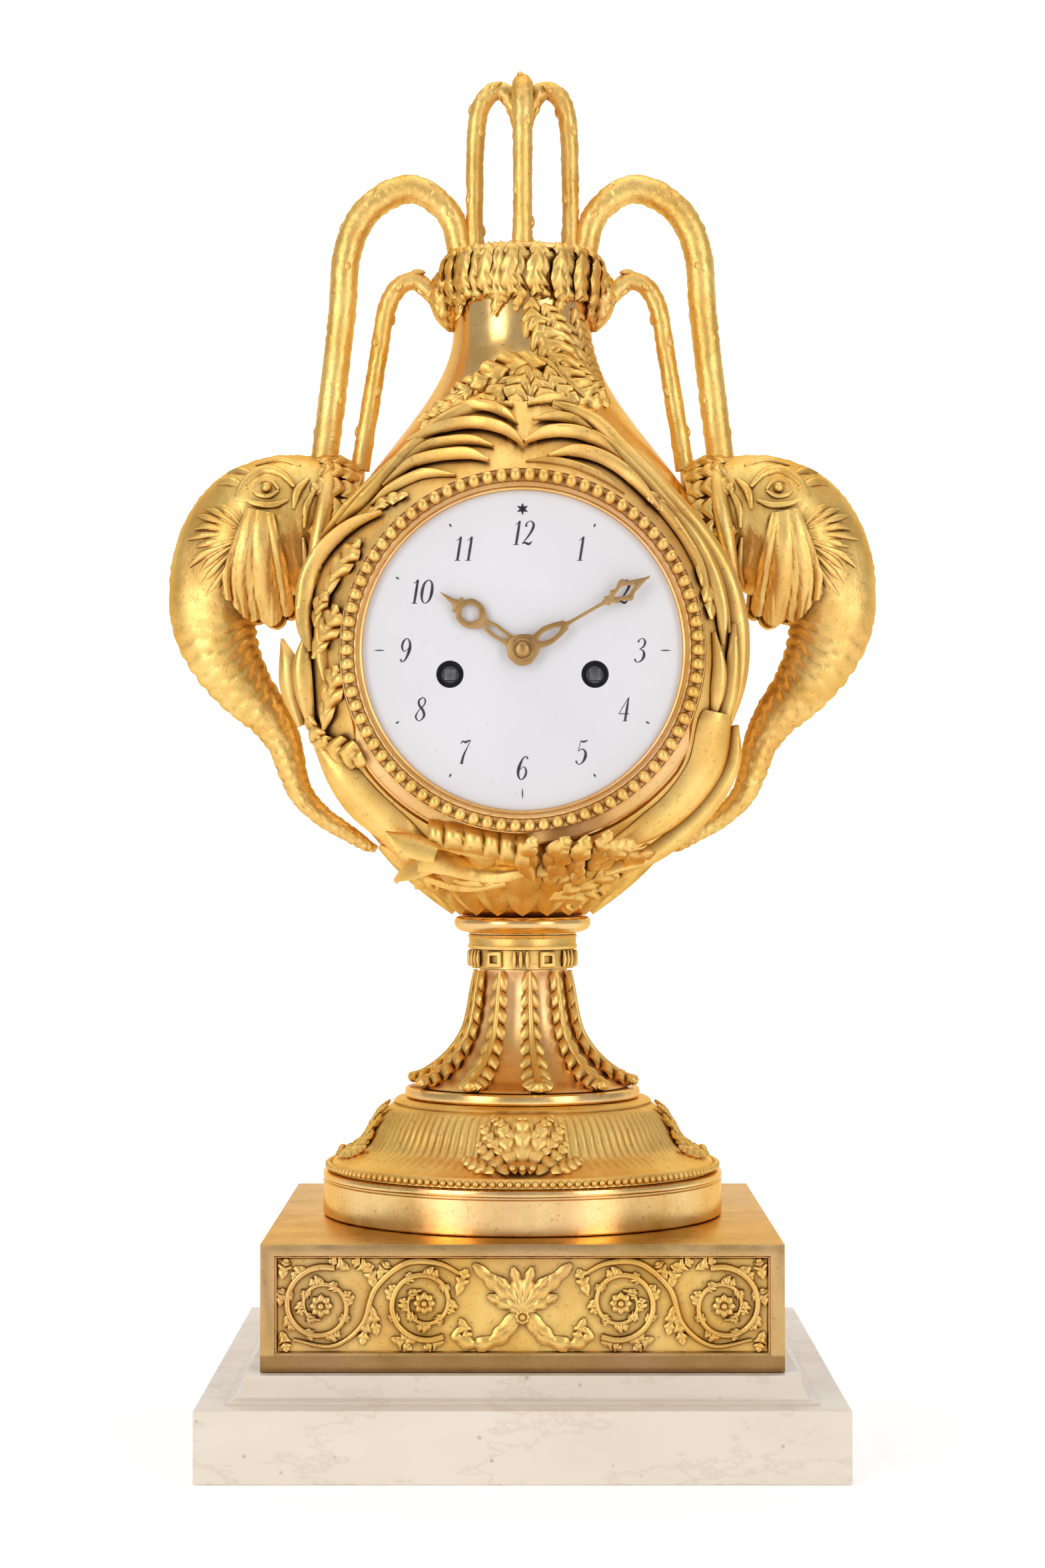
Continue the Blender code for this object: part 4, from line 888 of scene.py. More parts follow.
@dataclass
class Friezes:
    """The cast panels in the plinth's sides: leafy scrolls with rosettes round a middle plant."""

    half_wide: float = 75.6
    half_high: float = 15.0
    middle: float = 50.4
    ground: float = 77.9
    nodes: tuple[str, ...] = ("front", "right", "back", "left")

    def flat(self, points: Points, lift: float = 0.7) -> list[Spot]:
        """Lay panel points, across and up, on the panel's ground."""
        return [(x, -self.ground - lift, self.middle + z) for x, z in points]

    def scroll(
        self, centre: tuple[float, float], size: float, start: float, turn: float, side: float
    ) -> list[Piece]:
        """Model one scroll with its leaves and its rosette.

        Args:
            centre: its middle, across and up.
            size: its radius.
            start: the angle that it starts from, in degrees.
            turn: how far it winds, in degrees.
            side: which way it winds, 1 or -1.

        Returns:
            Its pieces.
        """
        spiral = []
        for step in range(28):
            share = step / 27
            radius = size * (1 - 0.66 * share**0.9)
            angle = math.radians(start + side * turn * share)
            spiral.append((centre[0] + radius * math.cos(angle), centre[1] + radius * math.sin(angle)))
        pieces = [sweep("stem", self.flat(spiral, 0.8), (1.15, 1, 0.8, 0.6), along=56, sides=8)]
        for step in range(2, 25, 2):
            x, z = spiral[step]
            away = math.atan2(z - centre[1], x - centre[0])
            ahead = away + side * math.pi / 2
            outward = 0.75 if step % 4 else -0.7
            heading = ahead - side * outward
            reach = (5.2 if outward > 0 else 3.8) * (1 - 0.3 * step / 27)
            bend = side * 0.9 * (1 if outward > 0 else -1)
            path = [(x, z)]
            for part in (0.35, 0.7, 1.0):
                far, course = reach * part, heading + bend * part
                path.append((x + far * math.cos(course), z + far * math.sin(course)))
            kept = [(px, min(max(pz, -self.half_high + 0.8), self.half_high - 0.8)) for px, pz in path]
            pieces.append(leaf(
                "frond", self.flat(kept, 1.1), (0.5, 1.7, 1.5, 0.15), lobes=3.5, notch=0.5, cup=0.35,
                vein=0.3, thick=0.7, across=6, along=12,
            ))
        return pieces + self.rosette(centre, size * 0.30)

    def rosette(self, centre: tuple[float, float], size: float) -> list[Piece]:
        """Model a rosette of eight petals round a bead."""
        pieces = []
        x, z = centre
        for step in range(8):
            wide, tall = size * math.cos(step * math.pi / 4), size * math.sin(step * math.pi / 4)
            path = [(x + wide * part, z + tall * part) for part in (0.15, 0.6, 1)]
            pieces.append(sweep(
                "petal", self.flat(path, 1.3), (0.4, 1.25, 0.3), (0.4, 0.75, 0.3), along=6, sides=6
            ))
        pieces.append(bead(2.3, self.flat([centre], 2)[0]))
        return pieces

    def plant(self) -> list[Piece]:
        """Model the middle plant: crossed leaves, a palmette above them and a calyx below."""
        pieces = []
        for angle in (-68, -40, -14, 14, 40, 68):
            lean = math.radians(angle)
            path = [
                (11 * part * math.sin(lean * (0.6 + 0.5 * part)), -2.5 + 14.5 * part * math.cos(lean))
                for part in (0, 0.35, 0.7, 1)
            ]
            pieces.append(leaf(
                "palmette", self.flat(path, 1.2), (0.6, 1.6, 1.8, 0.3), lobes=3, notch=0.35, cup=0.4,
                vein=0.2, thick=0.9, across=6, along=12,
            ))
        for side in (-1, 1):
            path = [(side * x, z) for x, z in ((15, 12.5), (9, 7), (2, 0), (-6, -7.5), (-11, -12.5))]
            pieces.append(leaf(
                "crossed", self.flat(path, 1), (1.2, 2.2, 2.3, 2, 0.4), lobes=7, notch=0.4, cup=0.3,
                vein=0.25, thick=0.8, across=6, along=26,
            ))
            path = [(side * x, z) for x, z in ((1, -4), (6, -9.5), (14, -12), (20, -9.5), (18.5, -6.5))]
            pieces.append(leaf(
                "calyx", self.flat(path, 1), (0.8, 2, 2.1, 1.6, 0.3), lobes=6, notch=0.45, cup=0.3, vein=0.25,
                thick=0.8, across=6, along=22,
            ))
        pieces += self.rosette((0, -3.5), 2.6)
        return pieces

    def build(self, plain: bool) -> Piece:
        """Model one panel at the front.

        Args:
            plain: whether it has its moulded edge alone.

        Returns:
            The panel.
        """
        clear_selection()
        size = (2 * self.half_wide * MM, 1.0 * MM, 2 * self.half_high * MM)
        bpy.ops.mesh.primitive_cube_add(size=1, location=(0, -self.ground * MM, self.middle * MM), scale=size)
        plate = settle(bpy.context.object)
        pick_faces(plate, 1, -2, -0.5)
        bpy.ops.mesh.inset(thickness=0.5 * MM, depth=0.35 * MM)
        bpy.ops.mesh.inset(thickness=0.5 * MM, depth=-0.6 * MM)
        mode("OBJECT")
        tidy_mesh(plate, merge=0.001)
        pieces = [plate]
        if not plain:
            pieces += self.plant()
            for side in (1, -1):
                start = -120 if side > 0 else 300
                pieces += self.scroll((side * 30.0, 0.6), 11.8, start, 560, side)
                pieces += self.scroll((side * 61.5, -0.2), 12.2, 110 if side > 0 else 70, 560, -side)
                link = [
                    (side * x, z)
                    for x, z in (
                        (19, 9.5), (26, 12.8), (36, 12.6), (45, 5), (49, -6), (58, -12.4), (70, -10.5)
                    )
                ]
                pieces.append(sweep(
                    "link", self.flat(link, 0.6), (0.7, 1.1, 1.1, 0.9, 0.6), along=40, sides=8
                ))
                for x, z, dx, dz in (
                    (45, 5, 2.5, 8), (46.5, 0, -2, -9), (47, -3, 2, -9), (44, 8, -3, 5), (20, 3, -3, 8),
                    (19, -4, -2.5, -7), (73.5, 8, -1.5, 6), (73.5, -8, -1.5, -6), (74, 0, -1, 5),
                    (46, 10, 6, 3.5), (40, -10, -6, -3.5), (53, 11, 6, 2.5), (24, -11, 6, -2),
                ):
                    path = [
                        (side * (x + dx * part), z + dz * part + 1.2 * part * (1 - part))
                        for part in (0, 0.4, 0.75, 1)
                    ]
                    kept = [(min(max(px, -74.6), 74.6), min(max(pz, -14.2), 14.2)) for px, pz in path]
                    pieces.append(leaf(
                        "filler", self.flat(kept, 0.9), (0.5, 1.9, 1.6, 0.2), lobes=4, notch=0.45, cup=0.3,
                        vein=0.3, thick=0.7, across=6, along=14,
                    ))
        return join("scrollwork", pieces)

    def dress(self, finishes: Finishes) -> None:
        """Set the four panels, the back one plain."""
        carved, plain = self.build(False), self.build(True)
        for quarter, place in enumerate(self.nodes):
            source = plain if place == "back" else carved
            panel = copy_of(source, Matrix.Rotation(quarter * math.pi / 2, 4, "Z"))
            panel.name = "scrollwork_" + place
            hand_over(panel, finishes.frieze, "gilt_bronze", "frieze_" + place)
        for source in (carved, plain):
            bpy.data.objects.remove(source)


# The round foot and the stem


@dataclass
class Foot:
    """The round foot: a polished step, a bead strip, a reeded dome and a polished fillet."""

    step_radius: float = 65.8
    reeds: int = 108
    reeds_low: float = 88.4
    reeds_high: float = 104.6
    beads: int = 150

    def step(self) -> Piece:
        """Turn the polished step."""
        radius = self.step_radius
        profile = [
            (60, 69.4), (radius - 0.5, 69.4), (radius, 69.9), (radius, 80.4), (radius - 0.5, 80.8),
            (radius - 0.5, 81.3), (radius - 0.05, 81.7), (radius + 0.1, 82.5), (radius - 0.2, 83.3),
            (radius - 0.9, 83.6), (58, 83.6),
        ]
        return turned("foot_step", profile, 160)

    def dome(self) -> Piece:
        """Turn the dome and press its reeds in."""
        curve = smooth([
            (62.2, 86.9), (59.6, 87.7), (56.2, 89.6), (52.4, 92), (50.2, 95.2), (48.4, 98.9), (46.2, 102.2),
            (43.6, 104.8),
        ], 25)
        profile = [
            (58, 83.9), (63.6, 83.9), (63.6, 84.6), (62.6, 86.6), *[tuple(point) for point in curve],
            (42.4, 105.4), (42.6, 106.2), (41.6, 107.1), (36, 107.1),
        ]
        piece = turned("foot_dome", profile, self.reeds * 6, angle=55)

        def press(points: Array) -> Array:
            """Push the reeds' joints in, between the dome's foot and its lip."""
            radius = np.hypot(points[:, 0], points[:, 1])
            turn = np.arctan2(points[:, 1], points[:, 0])
            height = points[:, 2]
            above = np.clip((height - self.reeds_low) / 1.5, 0, 1)
            below = np.clip((self.reeds_high - height) / 1.5, 0, 1)
            inside = above * below * (radius > 40)
            joint = 1 - np.abs(np.cos(turn * self.reeds / 2)) ** 0.6
            share = (radius - 0.85 * joint * inside) / np.maximum(radius, 1e-6)
            return np.column_stack([
                points[:, 0] * share, points[:, 1] * share, height - 0.3 * joint * inside
            ])

        return reshape(piece, press)

    def sprays(self) -> Piece:
        """Model the leaf cluster on the dome's front and the small ones at its quarters."""
        surface = (
            (62, 87.6), (56.9, 89.8), (52.9, 92.4), (50.6, 95.8), (48.9, 99.3), (46.8, 102.6), (44.4, 104.9)
        )

        def on_dome(turn: float, share: float, lift: float = 0.6) -> Spot:
            """Give a point on the dome at an angle from the front and a share of its height."""
            spot = smooth(surface, 61)[int(round(min(max(share, 0), 1) * 60))]
            radius, angle = spot[0] + lift, math.radians(turn)
            return radius * math.sin(angle), -radius * math.cos(angle), spot[1] + lift * 0.6

        pieces = []
        for turn, foot, top, lean, wide in (
            (0, 0.04, 0.98, 0, 3.3), (-6, 0.05, 0.85, -6, 2.8), (6, 0.05, 0.85, 6, 2.8),
            (-12, 0.04, 0.55, -12, 2.6), (12, 0.04, 0.55, 12, 2.6), (-19, 0.35, 0.8, -9, 2.1),
            (19, 0.35, 0.8, 9, 2.1), (-9, 0.6, 0.98, -9, 2), (9, 0.6, 0.98, 9, 2), (-24, 0.06, 0.3, -12, 2.2),
            (24, 0.06, 0.3, 12, 2.2),
        ):
            path = [
                on_dome(turn * 0.35 + lean * part, foot + (top - foot) * part)
                for part in (0, 0.3, 0.6, 0.85, 1)
            ]
            facing = [(x, y, 45) for x, y, _ in path]
            pieces.append(leaf(
                "spray", path, (0.7, wide, wide * 0.9, wide * 0.6, 0.3), facing, lobes=5, notch=0.45,
                cup=0.25, vein=0.3, thick=0.9, across=8, along=24,
            ))
        for turn in (-3, 3, 0):
            pieces.append(bead(2.6, on_dome(turn, 0.12, 1.4)))
        cluster = join("dome_sprays", pieces)
        return join("dome_sprays", around(cluster, 4))

    def dress(self, finishes: Finishes) -> None:
        """Burnish the step and the fillet, and leave the dome matt."""
        hand_over(self.step(), finishes.burnished, "burnished_gilt", "polished_step")
        hand_over(self.dome(), finishes.relief, "gilt_bronze", "reeded_dome")
        hand_over(self.sprays(), finishes.relief, "gilt_bronze")
        strip = join("foot_beads", around(bead(2.45, (64, 0, 85.3)), self.beads))
        hand_over(strip, finishes.relief, "gilt_bronze")
        fillet = turned("foot_fillet_ring", [
            (30, 107.4), (38.2, 107.4), (38.8, 108), (38.9, 109.2), (38.6, 110.3), (37.9, 110.8), (30, 110.8)
        ], 128)
        hand_over(fillet, finishes.burnished, "burnished_gilt", "foot_fillet")


@dataclass
class Stem:
    """The waisted stem: flutes, ten leaves that fall to the foot, a pierced band and a cup ring."""

    leaves: int = 10
    phase: float = 8.4
    flutes_low: float = 111.6
    flutes_high: float = 149.0

    def core(self) -> Piece:
        """Turn the stem and sink a flute between each two leaves."""
        line = smooth([
            (34.5, 111.6), (31.4, 113.6), (27.8, 116.2), (24.6, 119), (20.6, 123.7), (17.5, 129.3),
            (15.7, 136), (14.3, 147.4), (14.2, 149.6),
        ], 33)
        piece = turned(
            "stem_core", [(30, 111.1), (35, 111.1), *[tuple(point) for point in line], (12, 149.6)],
            self.leaves * 16, angle=50,
        )

        def flute(points: Array) -> Array:
            """Sink the flutes."""
            turn = np.arctan2(points[:, 0], -points[:, 1]) - math.radians(self.phase)
            hollow = (0.5 - 0.5 * np.cos(turn * self.leaves)) ** 0.8
            above = np.clip((points[:, 2] - self.flutes_low) / 2.5, 0, 1)
            inside = above * np.clip((self.flutes_high - points[:, 2]) / 2, 0, 1)
            share = 1 - 0.085 * hollow * inside
            return np.column_stack([points[:, 0] * share, points[:, 1] * share, points[:, 2]])

        return reshape(piece, flute)

    def leaf_set(self) -> Piece:
        """Model one falling leaf with its curled tip and copy it round."""
        path = [
            (0, -radius, height)
            for radius, height in (
                (15.4, 149), (16.6, 142), (17.6, 135.5), (19.2, 129.3), (22.6, 123.5), (27.2, 118.6),
                (32.6, 114.9), (36.2, 113.6), (37.4, 112.4),
            )
        ]
        facing = [
            (0, -1, 0.1), (0, -1, 0.15), (0, -1, 0.25), (0, -1, 0.5), (0, -0.75, 0.75), (0, -0.5, 1),
            (0, -0.3, 1), (0, -0.5, 1), (0, -1, 0.4),
        ]
        blade = leaf(
            "fall", path, (2.2, 2.7, 2.9, 3.2, 3.9, 4.6, 4.9, 3.8, 1.2), facing, lobes=10, notch=0.42,
            cup=0.35, vein=0.28, thick=1.3, along=60,
        )
        rib = sweep(
            "rib", [(x, y - 0.5, z + 0.2) for x, y, z in path], (0.6, 0.9, 1, 1.1, 1.2, 1.2, 1.1, 0.8),
            along=40, sides=8,
        )
        tip = sweep(
            "tip", [(-2.4, -35.6, 113.4), (0, -37, 113.2), (2.4, -35.6, 113.4)], (0.9, 1.9, 0.9), along=8,
            sides=8,
        )
        return join("stem_leaves", around(join("fall", [blade, rib, tip]), self.leaves, self.phase))

    def band(self) -> Piece:
        """Model the band: a rim over blocks, every second one pierced by a square hole."""
        pieces = [turned("band", [
            (12, 149.9), (16.9, 149.9), (17, 156), (17.9, 156.3), (18.1, 157.2), (17.7, 158), (17.7, 159.8),
            (18.1, 160.3), (17.8, 160.9), (12, 160.9),
        ], 96)]
        clear_selection()
        bpy.ops.mesh.primitive_cube_add(
            size=1, location=(0, -17.0 * MM, 153.1 * MM), scale=(5.6 * MM, 1.9 * MM, 5.2 * MM)
        )
        block = settle(bpy.context.object)
        pick_faces(block, 1, -2, -0.5)
        bpy.ops.mesh.inset(thickness=0.6 * MM, depth=0.3 * MM)
        bpy.ops.mesh.inset(thickness=0.75 * MM, depth=0.0)
        bpy.ops.mesh.inset(thickness=0.1 * MM, depth=-1.5 * MM)
        mode("OBJECT")
        modify(
            block, "BEVEL", width=0.22 * MM, segments=2, limit_method="ANGLE", angle_limit=math.radians(40)
        )
        tidy_mesh(block, merge=0.002)
        pieces += around(block, 6, 28)
        bars = [
            sweep(
                "bar", [(x, -17.4, 150.6), (x, -17.6, 153.2), (x, -17.4, 155.8)], (0.5, 0.85, 0.5), along=6,
                sides=8,
            )
            for x in (-2.1, 0, 2.1)
        ]
        pieces += around(join("bars", bars), 6, 58)
        return join("stem_band_ring", pieces)

    def dress(self, finishes: Finishes) -> None:
        """Finish the stem and its rings."""
        hand_over(self.core(), finishes.satin, "gilt_bronze", "leaf_stem")
        hand_over(self.leaf_set(), finishes.relief, "gilt_bronze")
        hand_over(self.band(), finishes.relief, "gilt_bronze", "stem_band")
        ring = turned("cup_scotia", [
            (12, 161.2), (17.8, 161.2), (18, 161.6), (19.8, 161.9), (21.4, 162.6), (22.3, 163.7),
            (22.6, 164.9), (22.4, 166), (21.8, 166.7), (20.9, 167), (12, 167),
        ], 112)
        hand_over(ring, finishes.burnished, "burnished_gilt", "cup_ring")


# The vase


@dataclass
class Vase:
    """The vase: a round body, a neck, the dial's drum in front and a smaller drum behind."""

    base: float = 167.3
    foot_radius: float = 20.0
    belly: float = 51.0
    belly_rise: float = 84.3
    neck_radius: float = 23.0
    shoulder: float = 109.6
    top: float = 384.0
    front_hold: float = 50.0
    rear_hold: float = 50.5
    ribs: int = 18

    def radius(self, height: float) -> float:
        """Give the body's radius at a height."""
        rise = height - self.base
        if rise < self.belly_rise:
            return self.foot_radius + self.belly * (1 - (1 - max(rise, 0) / self.belly_rise) ** 2.35)
        share = min((rise - self.belly_rise) / self.shoulder, 1)
        return self.neck_radius + 48.0 * (0.5 + 0.5 * math.cos(math.pi * share**1.35))

    def body(self) -> Piece:
        """Turn the body, hollowed a little where the drums stand."""
        heights = [self.base + (self.top - self.base) * step / 72 for step in range(73)]
        profile = [(12, self.base), *[(self.radius(height), height) for height in heights], (12, self.top)]
        shell = turned("vase_shell", profile, 192, angle=60)

        def flatten(points: Array) -> Array:
            """Hold the belly back behind the dial and the rear cover."""
            away = np.hypot(points[:, 0], points[:, 2] - DIAL_HEIGHT)
            deep = np.maximum(points[:, 1], -self.front_hold - 2.2 * np.maximum(away - 56, 0))
            deep = np.minimum(deep, self.rear_hold + 1.3 * np.maximum(away - 45, 0))
            return np.column_stack([points[:, 0], deep, points[:, 2]])

        return reshape(shell, flatten)

    def drums(self) -> Piece:
        """Turn the dial's drum with its moulded flange, and the smaller one behind."""
        front = [
            (40, 20), (55.6, 20), (55.6, 50.2), (58.4, 50.6), (60.2, 51.2), (60.8, 52), (60.2, 52.8),
            (57.4, 53.2), (55.8, 54), (55.8, 58), (52.8, 58), (52.8, 50.5),
        ]
        pieces = [faced(turned("front_drum", front, 144))]
        back = [
            (30, 30), (48, 30), (48, 57), (49.2, 57.8), (49.2, 59.8), (48.4, 60.6), (46.2, 60.9),
            (45.4, 60.4), (45.2, 58), (30, 58),
        ]
        rear = faced(turned("rear_drum", back, 112))
        pieces.append(copy_of(rear, Matrix.Diagonal((1, -1, 1, 1))))
        bpy.data.objects.remove(rear)
        return join("dial_drums", pieces)

    def cup(self) -> Piece:
        """Model the ribbed leaf cup under the vase."""
        heights = (168.4, 171, 175, 180, 185.5, 190)
        path = [
            (0, -self.radius(height) - lift, height)
            for height, lift in zip(heights, (1.4, 1.4, 1.3, 1.1, 0.9, 0.9))
        ]
        facing = [
            (0, -1, -0.2), (0, -0.8, -0.8), (0, -0.7, -0.8), (0, -0.7, -0.7), (0, -0.8, -0.6), (0, -1, -0.3)
        ]
        rib = leaf(
            "cup_rib", path, (3.9, 5, 6.8, 8.2, 7.4, 2.4), facing, lobes=3, notch=0.05, cup=0.34, vein=0.07,
            thick=1.4, across=8, along=24,
        )
        return join("leaf_cup", around(rib, self.ribs))

    def rear_cover(self) -> Piece:
        """Turn the push-in cover behind: a moulded rim, a low dome and a small knob."""
        profile = [
            (44.6, 58.6), (44.9, 59.4), (44.6, 60.3), (43.2, 60.6), (42.4, 60), (40.5, 59.7), (30, 60.3),
            (15, 60.6), (4.6, 60.7), (4.2, 61), (2.2, 61), (0, 61),
        ]
        cover = faced(turned("cover", [(0, 58.5), *profile], 128))
        piece = copy_of(cover, Matrix.Diagonal((1, -1, 1, 1)))
        bpy.data.objects.remove(cover)
        piece.name = "rear_cover_plate"
        return piece

    def dress(self, finishes: Finishes) -> None:
        """Burnish the vase and leave its cup matt."""
        hand_over(self.body(), finishes.burnished, "burnished_gilt", "vase_body")
        hand_over(self.drums(), finishes.satin, "burnished_gilt")
        hand_over(self.cup(), finishes.relief, "gilt_bronze")
        hand_over(self.rear_cover(), finishes.burnished, "burnished_gilt", "rear_cover")


# The dial and its hands

# Strokes of the figures, point by point: across, up and half width, in hundredths of a figure's height
NUMERAL_STROKES: dict[str, tuple[tuple[float, ...], ...]] = {
    "0": ((30, 100, 1.6, 12, 85, 5, 6, 50, 7.5, 12, 15, 5, 30, 0, 1.6, 48, 15, 5, 54, 50, 7.5, 48, 85, 5, 30,
           100, 1.6),),
    "1": ((30, 100, 5, 30, 50, 6.5, 30, 0, 5.5), (30, 100, 3, 22, 90, 2, 12, 84, 1),
          (16, 0, 1.2, 30, 0, 2, 44, 0, 1.2)),
    "2": ((12, 76, 6, 12, 90, 3, 28, 100, 1.8, 45, 90, 5, 47, 72, 6.5, 34, 42, 4.5, 6, 3, 1.2),
          (6, 3, 1.4, 20, 8, 4.5, 38, 2, 6, 54, 14, 1.2)),
    "3": ((12, 84, 5.5, 18, 96, 2, 33, 100, 2, 46, 86, 5.5, 42, 66, 4, 24, 55, 1.2),
          (24, 55, 1.2, 44, 47, 4, 51, 26, 7, 40, 5, 3.5, 20, 0, 1.8, 8, 13, 5.5)),
    "4": ((40, 100, 1.4, 22, 65, 1.6, 4, 30, 1.4), (4, 30, 1.8, 28, 30, 2.2, 56, 30, 1.6),
          (40, 100, 2, 40, 50, 6, 40, 0, 5.5), (28, 0, 1.2, 40, 0, 1.6, 52, 0, 1.2)),
    "5": ((16, 98, 2, 30, 94, 5, 50, 100, 2), (16, 98, 1.4, 14, 75, 1.4, 12, 54, 1.4),
          (12, 54, 1.4, 30, 63, 2.5, 48, 50, 5.5, 50, 25, 7, 37, 3, 3, 20, 0, 2, 8, 13, 5.5)),
    "6": ((46, 88, 5.5, 38, 99, 2, 22, 88, 4, 10, 50, 7.5, 13, 18, 5.5, 30, 0, 1.8, 46, 14, 5, 48, 38, 5, 33,
           55, 1.8, 13, 40, 1.4),),
    "7": ((8, 84, 1.4, 14, 96, 3, 30, 92, 5.5, 52, 100, 2, 42, 70, 2, 30, 36, 5, 26, 0, 7),),
    "8": ((30, 100, 1.8, 14, 87, 4.5, 18, 67, 5.5, 40, 45, 6.5, 50, 20, 5.5, 30, 0, 1.8, 10, 17, 4.5, 20, 44,
           1.8, 42, 68, 3, 44, 88, 3.5, 30, 100, 1.8),),
    "9": ((14, 12, 5.5, 22, 1, 2, 38, 12, 4, 50, 50, 7.5, 47, 82, 5.5, 30, 100, 1.8, 14, 86, 5, 12, 62, 5, 27,
           45, 1.8, 47, 60, 1.4),),
}


@dataclass
class Dial:
    """The convex enamel dial with its painted numerals, in its beaded bezel, and the winding squares."""

    radius: float = 52.5
    front: float = 59.1
    fall: float = 1.15
    numeral_radius: float = 36.8
    numeral_height: float = 7.4
    slant: float = 0.16
    winding: tuple[float, float] = (22.7, -7.5)
    hole: float = 4.3
    beads: int = 78

    def depth(self, radius: float | Array) -> float | Array:
        """Give how far forward the enamel stands at a radius."""
        return self.front - self.fall * (radius / 50) ** 2

    def plate(self) -> Piece:
        """Turn the plate, then bore the two winding holes."""
        rows = [(radius, float(self.depth(radius))) for radius in (51.6, 48, 44, 38, 32, 26, 20, 14, 8, 3, 0)]
        plate = faced(turned("dial_plate", [
            (0, 56.5), (52, 56.5), (self.radius, 56.9), (52.4, 57.5), *rows
        ], 128, angle=50))
        for side in (-1, 1):
            clear_selection()
            place = (side * self.winding[0] * MM, -57.8 * MM, (DIAL_HEIGHT + self.winding[1]) * MM)
            bpy.ops.mesh.primitive_cylinder_add(
                vertices=48, radius=self.hole * MM, depth=8 * MM, location=place, rotation=(math.pi / 2, 0, 0)
            )
            bore = settle(bpy.context.object)
            modify(plate, "BOOLEAN", operation="DIFFERENCE", object=bore, solver="EXACT")
            bpy.data.objects.remove(bore)
        return tidy_mesh(plate, merge=0.002, angle=30)

    def mark(self, points: Points, half: Sequence[float], lift: float = 0.05) -> Piece:
        """Paint one stroke on the enamel.

        Args:
            points: its line, across and up from the dial's centre.
            half: half its thickness at even steps.
            lift: how far it stands off the enamel.

        Returns:
            The stroke.
        """
        count = max(6, 5 * (len(points) - 1))
        line, wide = smooth(points, count + 1), smooth(half, count + 1)[:, 0]
        ahead = unit(np.gradient(line, axis=0))
        side = np.column_stack([ahead[:, 1], -ahead[:, 0]])

        def place(u: Array, v: Array) -> Array:
            """Lay the stroke's points on the enamel."""
            step = np.rint(v * count).astype(int)
            spot = line[step] + side[step] * ((2 * u - 1) * wide[step])[:, None]
            far = self.depth(np.hypot(spot[:, 0], spot[:, 1])) + lift
            return np.column_stack([spot[:, 0], -far, spot[:, 1] + DIAL_HEIGHT])

        piece = sheet("stroke", 1, count, place)
        return modify(piece, "SOLIDIFY", thickness=0.07 * MM, offset=0.0)

    def digit(self, figure: str, left: float, base: float, size: float) -> list[Piece]:
        """Paint one figure.

        Args:
            figure: the figure.
            left: its left edge from the dial's centre.
            base: its foot from the dial's centre.
            size: its height.

        Returns:
            Its strokes.
        """
        strokes = []
        for stroke in NUMERAL_STROKES[figure]:
            rows = np.reshape(stroke, (-1, 3)) * size / 100
            line = [(left + 0.86 * x + self.slant * y, base + y) for x, y, _ in rows]
            strokes.append(self.mark(line, 0.82 * rows[:, 2]))
        return strokes

    def numerals(self) -> Piece:
        """Paint the twelve numerals, the star over the twelve, the dots and the quarter strokes."""
        pieces = []
        for hour in range(1, 13):
            angle = math.radians(hour * 30)
            x, z = self.numeral_radius * math.sin(angle), self.numeral_radius * math.cos(angle)
            figures, size = str(hour), self.numeral_height
            wide = 0.56 * size if len(figures) == 1 else 0.98 * size
            for index, figure in enumerate(figures):
                pieces += self.digit(
                    figure, x - wide / 2 - 0.04 * size + index * 0.46 * size, z - size / 2, size
                )
        for minute in range(60):
            angle = math.radians(minute * 6)
            away = np.array([math.sin(angle), math.cos(angle)])
            if minute == 0:
                for step in range(3):
                    ray = math.radians(step * 60)
                    tip = np.array([math.sin(ray), math.cos(ray)]) * 1.9
                    middle = away * 44.3
                    pieces.append(self.mark([middle - tip, middle, middle + tip], (0.04, 0.62, 0.04)))
            elif minute % 15 == 0:
                pieces.append(self.mark([away * 43.2, away * 44.8, away * 46.4], (0.06, 0.2, 0.05)))
            elif minute % 5 == 0:
                pieces.append(self.mark([away * 44.6, away * 45.2, away * 45.8], (0.1, 0.28, 0.1)))
        return tidy_mesh(join("dial_numerals", pieces), merge=0.001, angle=30)

    def squares(self, side: int) -> Piece:
        """Model one winding square in its dark sleeve.

        Args:
            side: -1 for the left one, 1 for the right one.

        Returns:
            The winding square.
        """
        rod = turned("square_rod", [(1.9, 52), (1.9, 57.2), (1.75, 57.6), (1.5, 57.7)], 4)
        collar = turned("square_collar", [(0.5, 51), (2.9, 51), (2.9, 56), (2.5, 56.3), (0.5, 56.3)], 32)
        piece = faced(join("square", [rod, collar]), DIAL_HEIGHT + self.winding[1])
        shifted = copy_of(piece, Matrix.Translation((side * self.winding[0] * MM, 0, 0)))
        bpy.data.objects.remove(piece)
        shifted.name = "winding_rod_left" if side < 0 else "winding_rod_right"
        return shifted

    def sleeves(self) -> Piece:
        """Model the sleeves behind the winding holes; their near-black finish is painted shade, standing for
        the shade inside the holes.
        """
        sleeve = faced(
            turned("sleeve", [(0.5, 50.5), (4.7, 50.5), (4.7, 56.4), (4, 56.4), (4, 55.2), (0.5, 55.2)], 40),
            DIAL_HEIGHT + self.winding[1],
        )
        pair = [copy_of(sleeve, Matrix.Translation((side * self.winding[0] * MM, 0, 0))) for side in (-1, 1)]
        bpy.data.objects.remove(sleeve)
        return join("winding_sleeves", pair)

